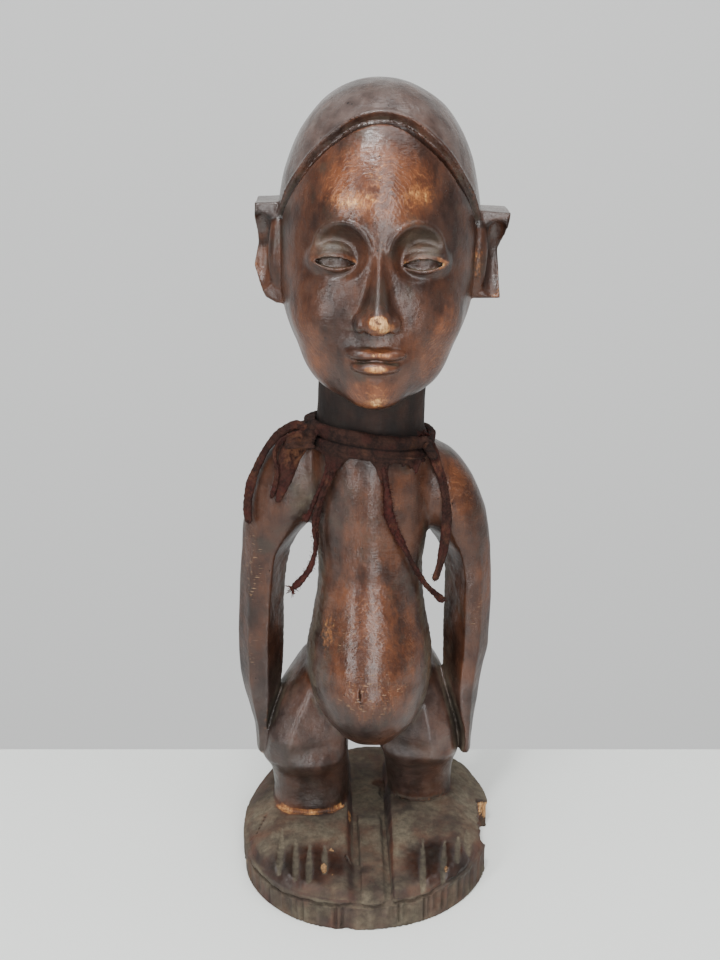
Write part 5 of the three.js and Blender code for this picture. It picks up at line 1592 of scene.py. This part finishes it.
ROUTES = {
    "thong_1": (3.8, [(-25.2, -8, 215.3), (-28.8, -4, 216.2), (-32.7, -2.4, 214.9), (-38.0, -1, 210.7), (-42.9, -0.6, 205.0), (-47.0, -0.2, 197.3), (-50.2, 0, 189.7), (-52.0, -1, 181.8), (-52.4, -2.4, 175.3), (-51.6, -3.4, 170.1)]),
    "thong_2": (2.2, [(-29.9, -5, 212.8), (-33.3, -5, 211.4), (-36.9, -5.4, 208.9), (-39.1, -6, 205.3), (-39.4, -7.4, 201.8), (-38.7, -8.6, 198.4), (-38.7, -9.2, 194.0), (-39.9, -9, 188.8), (-41.3, -8, 183.6)]),
    "thong_3": (2.6, [(-16.4, -18.4, 206.2), (-15.9, -18.6, 201.8), (-17.6, -17.2, 196.0), (-20.1, -15.4, 190.0), (-22.4, -13.2, 183.8), (-24.8, -10.6, 177.3), (-27.4, -9.6, 173.9)]),
    "thong_4": (3.4, [(-13.6, -20.4, 205.8), (-14.7, -19.4, 201.1), (-15.7, -18.6, 196.2), (-18.0, -17, 190.3), (-19.8, -15.4, 184.3), (-21.5, -13.4, 176.7), (-22.1, -12.4, 170.8), (-21.7, -12, 165.1), (-22.7, -12.4, 158.3), (-24.8, -12.8, 152.1), (-28.8, -12.4, 146.3), (-32.6, -12, 142.5)]),
    "thong_5": (3.8, [(4.8, -22.6, 206.1), (7.6, -22.2, 202.5), (8.7, -22, 196.1), (9.4, -22, 189.4), (10.0, -21.8, 182.0), (12.0, -21.2, 175.6), (15.2, -20.4, 168.5), (18.8, -18.8, 160.9), (22.9, -15.6, 151.9), (27.2, -11.6, 143.8), (31.7, -8.2, 137.9), (35.3, -5, 133.1)]),
    "thong_6": (4.6, [(25.3, -12.6, 211.4), (28.0, -11.4, 206.8), (31.2, -9.8, 199.2), (33.7, -9.4, 191.6), (35.1, -9.6, 184.2), (35.7, -9.8, 176.7), (35.4, -10.4, 168.6), (34.4, -11, 160.5), (32.8, -12, 153.2), (30.7, -13, 146.5)]),
}


def smooth_path(pts, gap):
    """Catmull-Rom through pts, at even distances."""
    P = np.array(pts, float)
    P = np.vstack([2 * P[0] - P[1], P, 2 * P[-1] - P[-2]])
    out = []
    for i in range(1, len(P) - 2):
        t = np.linspace(0, 1, 24, endpoint=False)[:, None]
        a, b, c, d = P[i - 1], P[i], P[i + 1], P[i + 2]
        out.append(0.5 * (2 * b + (c - a) * t + (2 * a - 5 * b + 4 * c - d) * t**2 + (3 * b - a - 3 * c + d) * t**3))
    out.append(P[-2:-1])
    Q = np.vstack(out)
    s = np.concatenate([[0], np.cumsum(np.linalg.norm(np.diff(Q, axis=0), axis=1))])
    n = max(8, int(s[-1] / gap))
    at = np.linspace(0, s[-1], n + 1)
    return np.stack([np.interp(at, s, Q[:, k]) for k in range(3)], 1), s[-1]


def thong_parts(route, d, face, wide, thin, twist, seed, lumps=(), fuzz=(), end=None, rough=0.12, root=0):
    """A strip of two strands laid side by side. face: where the flat side looks; wide, thin: half-widths in mm;
    twist: turns in degrees along it; lumps: (place 0..1, half length, extra); fuzz: (from, to, count, length)."""
    C, total = smooth_path(route, 0.34)
    n = len(C)
    T = np.gradient(C, axis=0)
    T /= np.linalg.norm(T, axis=1)[:, None]
    face = np.array(face, float)
    nrm = face - (T @ face)[:, None] * T
    nrm /= np.linalg.norm(nrm, axis=1)[:, None]
    side = np.cross(T, nrm)
    u = np.linspace(0, 1, n)
    ang = np.radians(twist) * u + 0.25 * np.sin(u * 9 + seed)
    m = 22
    a = np.arange(m) * 2 * math.pi / m
    rs = np.random.RandomState(seed)
    k1, k2 = rs.uniform(0, 9, 2)
    w = wide * (1 + 0.10 * np.sin(u * 13 + k1) + 0.06 * np.sin(u * 31 + k2))
    h = thin * (1 + 0.12 * np.sin(u * 17 + k2) + 0.06 * np.sin(u * 41 + k1))
    for at, half, extra in lumps:
        g = np.exp(-(((u - at) / half) ** 2))
        w, h = w + extra * g, h + extra * g
    taper = np.sqrt(np.clip(u * n / 3.0, 0.05, 1)) * np.sqrt(np.clip((1 - u) * n / 4.0, 0.03, 1))
    if root:
        grow = 0.34 + 0.66 * step(u * total, 0.5, root)
        w, h = w * grow, h * grow
    w, h = w * taper, h * taper
    cu, sv = np.cos(a)[None], np.sin(a)[None]
    seam = 1 - 0.42 * np.exp(-((cu / 0.26) ** 2))
    px = w[:, None] * np.sign(cu) * np.abs(cu) ** 0.9
    py = h[:, None] * sv * seam
    ca, sa = np.cos(ang)[:, None], np.sin(ang)[:, None]
    qx, qy = px * ca - py * sa, px * sa + py * ca
    V = C[:, None] + qx[..., None] * side[:, None] + qy[..., None] * nrm[:, None]
    V = V.reshape(-1, 3)
    out = V - np.repeat(C, m, 0)
    out /= np.maximum(np.linalg.norm(out, axis=1), 1e-6)[:, None]
    g = rough * noise(V, 0.9, seed) + 0.5 * rough * noise(V, 0.45, seed + 1)
    g = g + 0.6 * rough * np.sin(np.repeat(u, m) * total * 2.2 + np.tile(a, n) * 2)
    V = V + out * (g * np.repeat(taper, m))[:, None]
    i, k = np.meshgrid(np.arange(n - 1), np.arange(m), indexing="ij")
    k2_ = (k + 1) % m
    Q = np.stack([i * m + k, i * m + k2_, (i + 1) * m + k2_, (i + 1) * m + k], -1).reshape(-1, 4)
    V = np.vstack([V, C[:1], C[-1:]])
    tri = []
    for k in range(m):
        tri.append((n * m, (k + 1) % m, k))
        tri.append((n * m + 1, (n - 1) * m + k, (n - 1) * m + (k + 1) % m))
    # all faces look outward
    a0, b0, c0 = V[Q[m * 3, 0]], V[Q[m * 3, 1]], V[Q[m * 3, 2]]
    if np.dot(np.cross(b0 - a0, c0 - a0), a0 - C[3]) < 0:
        Q = Q[:, ::-1]
        tri = [t[::-1] for t in tri]
    parts = [(V, Q, tri)]
    for f0, f1, count, ln in fuzz:
        for _ in range(count):
            j = int((f0 + (f1 - f0) * rs.rand()) * (n - 1))
            t = rs.rand() * 2 * math.pi
            d0 = side[j] * math.cos(t) + nrm[j] * math.sin(t) + T[j] * rs.normal(0, 0.6)
            d0 /= np.linalg.norm(d0)
            p0 = C[j] + (side[j] * math.cos(t) * w[j] + nrm[j] * math.sin(t) * h[j]) * 0.85
            pts = [p0]
            L = ln * rs.uniform(0.4, 1.2)
            bend = rs.normal(0, 0.5, 3)
            for _k in range(3):
                p0 = p0 + d0 * L / 3
                d0 = d0 + bend * 0.4
                d0 /= np.linalg.norm(d0)
                pts.append(p0)
            parts.append(fibre(pts, 0.11, 0.04, 3))
    fray = []
    if end:
        count, ln, thick, spread, curl = end
        fray = tassel(rs, C[-1] - T[-1] * 0.8, T[-1], count, ln, thick, spread, curl)
    return parts, fray, len(V)


THONGS = {
    "thong_1": dict(face=(-0.6, -0.75, 0.3), wide=1.95, thin=1.15, twist=30, seed=101, fuzz=((0.1, 1, 40, 0.9),), end=(7, 1.6, 0.22, 0.5, 0.5)),
    "thong_2": dict(face=(-0.4, -0.9, 0.2), wide=1.15, thin=0.85, twist=240, seed=103, fuzz=((0, 1, 60, 1.0),), end=(8, 1.8, 0.2, 0.6, 0.7), rough=0.16),
    "thong_3": dict(root=7, face=(-0.2, -1, 0), wide=1.3, thin=0.95, twist=160, seed=105, lumps=((0.97, 0.05, 0.5),), fuzz=((0, 1, 90, 1.1),), end=(12, 2.0, 0.24, 0.9, 0.8), rough=0.17),
    "thong_4": dict(root=7, face=(-0.2, -1, 0), wide=1.6, thin=1.1, twist=120, seed=107, lumps=((0.82, 0.05, 0.2), (0.95, 0.04, 0.35)), fuzz=((0.0, 0.5, 50, 0.9), (0.5, 1, 150, 1.3)), end=(34, 5.6, 0.33, 0.42, 0.9), rough=0.18),
    "thong_5": dict(root=7, face=(0.2, -1, 0.1), wide=1.35, thin=1.0, twist=420, seed=109, lumps=((0.24, 0.05, 0.75), (0.32, 0.045, 0.95), (0.40, 0.04, 0.7), (0.47, 0.03, 0.5), (0.97, 0.04, 0.5)), fuzz=((0.14, 0.5, 320, 1.5), (0.5, 1, 90, 0.9)), end=(12, 2.0, 0.28, 0.6, 0.7), rough=0.2),
    "thong_6": dict(root=4, face=(0.35, -0.95, 0.1), wide=2.35, thin=1.25, twist=25, seed=111, fuzz=((0, 1, 70, 0.9),), end=(10, 1.8, 0.24, 0.5, 0.6), rough=0.12),
}


def make_hide(G):
    mat = hide_material()
    collar = make_collar(G, mat)
    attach(collar, "root")
    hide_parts("hide_collar")
    note(f"collar {len(collar.data.polygons)} faces")
    for name, kw in THONGS.items():
        d, route = ROUTES[name]
        if name in ("thong_3", "thong_4", "thong_5", "thong_6"):
            # the first points lie inside the band, a little over the wood
            for i, off in ((0, 0.55), (1, 1.5)):
                px, py, pz = route[i]
                ys = np.linspace(py - 4, py + 8, 240)
                gap = G.sample(np.stack([np.full(240, px), ys, np.full(240, pz)], 1))
                route[i] = (px, round(float(ys[np.argmax(gap < off)]), 2), pz)
        parts, fray, nv = thong_parts(route, d, **kw)
        end = to_mesh(name + "_frayed_end", fray)
        paint(end, "red", np.full(len(end.data.vertices), 0.95 if name in ("thong_3", "thong_4", "thong_5") else 0.6))
        paint(end, "dry", np.full(len(end.data.vertices), 0.25))
        paint(end, "deep", np.zeros(len(end.data.vertices)))
        end.data.materials.append(mat)
        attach(end, "root")
        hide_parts(name)
        ob = to_mesh(name + "_strip", parts)
        P = points(ob)
        n = len(P)
        loose = (np.arange(n) >= nv).astype(f32)
        z = P[:, 2]
        red = 0.35 + 0.35 * step(noise(P, 5, 81), -0.2, 0.5) + 0.4 * loose
        if name in ("thong_4", "thong_3"):
            red = red + 0.5 * step(z, 178, 150) + (0.25 if name == "thong_3" else 0)
        if name == "thong_5":
            red = red + 0.6 * step(z, 196, 186) * step(z, 160, 172)
        if name in ("thong_1", "thong_6"):
            red = red - 0.15
        paint(ob, "red", np.clip(red, 0, 1))
        paint(ob, "dry", 0.35 * step(noise(P, 4, 82), 0.0, 0.7))
        paint(ob, "deep", 0.25 * step(noise(P, 1.2, 83), 0.1, 0.8) * (1 - loose))
        ob.data.materials.append(mat)
        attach(ob, "root")
        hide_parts(name)
        L = float(np.linalg.norm(np.diff(np.array(route), axis=0), axis=1).sum()) / 1000
        note(f"{name} {len(ob.data.polygons)} faces, {L * 1000:.0f} mm")


# ======================================================================================================================
G = build_figure()
V, Q = surface_nets(G)
note(f"net {len(V)} points, {len(Q)} quads")
V = settle(G, V)
N = G.gradient(V, G.h)
N /= np.maximum(np.linalg.norm(N, axis=1), 1e-6)[:, None]
V = V + N * relief(V, N)[:, None]
V[:, 2] = np.where(V[:, 2] < 0.35, 0.0, V[:, 2])
note("relief")
fig = new_mesh("carved_figure", V, Q)
tris = 2 * len(Q)
if tris > 190000:
    m = fig.modifiers.new("thin", "DECIMATE")
    m.ratio = 190000 / tris
    applied(fig)
fig.data.shade_smooth()
note(f"mesh {len(fig.data.vertices)} points, {len(fig.data.polygons)} faces")
paint_wood(fig, G)
fig.data.materials.clear()
fig.data.materials.append(wood_material())
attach(fig, "root")
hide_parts("figure")
note("figure")
make_hide(G)

# ---- the photograph's camera ----------------------------------------------------------------------------------------------
cam_data = bpy.data.cameras.new("camera")
cam_data.sensor_width = 36
cam_data.lens = 1300 / 960 * 36
cam_data.clip_start, cam_data.clip_end = 0.01, 20
cam = bpy.data.objects.new("camera", cam_data)
cam.location = (-0.0024, -0.543578, 0.378923)
cam.rotation_euler = (math.radians(90 - 19.217), 0, 0)
bpy.context.scene.collection.objects.link(cam)
bpy.context.scene.camera = cam


# ---- floor, wall and lights -----------------------------------------------------------------------------------------------
def plain(name, colour, rough=0.7, glow=0.0):
    m = bpy.data.materials.new(name)
    m.use_nodes = True
    b = m.node_tree.nodes["Principled BSDF"]
    b.inputs["Base Color"].default_value = (*colour, 1)
    b.inputs["Roughness"].default_value = rough
    b.inputs["Emission Color"].default_value = (0.97, 0.98, 0.97, 1)
    b.inputs["Emission Strength"].default_value = glow
    return m


floor = new_mesh("floor", [(-2000, -330, 0), (2000, -330, 0), (2000, 89, 0), (-2000, 89, 0)], [(0, 1, 2, 3)], smooth=False)
floor.data.materials.append(plain("floor_white", (0.705, 0.725, 0.70)))
wall = new_mesh("wall", [(-5000, 1150, -1800), (5000, 1150, -1800), (5000, 1150, 4600), (-5000, 1150, 4600)], [(0, 1, 2, 3)], smooth=False)
wall.data.materials.append(plain("wall_grey", (0.33, 0.335, 0.33), glow=0.605))

world = bpy.data.worlds.new("world")
bpy.context.scene.world = world
world.use_nodes = True
world.node_tree.nodes["Background"].inputs["Color"].default_value = (0.95, 0.97, 1.0, 1)
world.node_tree.nodes["Background"].inputs["Strength"].default_value = 0.26


def area(name, loc, target, size, power, colour=(1, 1, 1)):
    d = bpy.data.lights.new(name, "AREA")
    d.shape = "RECTANGLE"
    d.size, d.size_y = size
    d.energy = power
    d.color = colour
    o = bpy.data.objects.new(name, d)
    o.location = loc
    v = mathutils.Vector(target) - mathutils.Vector(loc)
    o.rotation_euler = v.to_track_quat("-Z", "Y").to_euler()
    bpy.context.scene.collection.objects.link(o)
    return o


area("overhead", (0.1, -0.35, 1.6), (0, 0, 0.1), (1.5, 1.1), 26)
area("window_left", (-0.62, -0.85, 0.46), (0, 0, 0.2), (0.15, 0.84), 7)
area("window_right", (0.13, -1.0, 0.39), (0, 0, 0.16), (0.26, 1.14), 12)
area("lamp", (-0.20, -0.72, 1.32), (0, 0, 0.3), (0.12, 0.12), 11)

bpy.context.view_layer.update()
note("done")
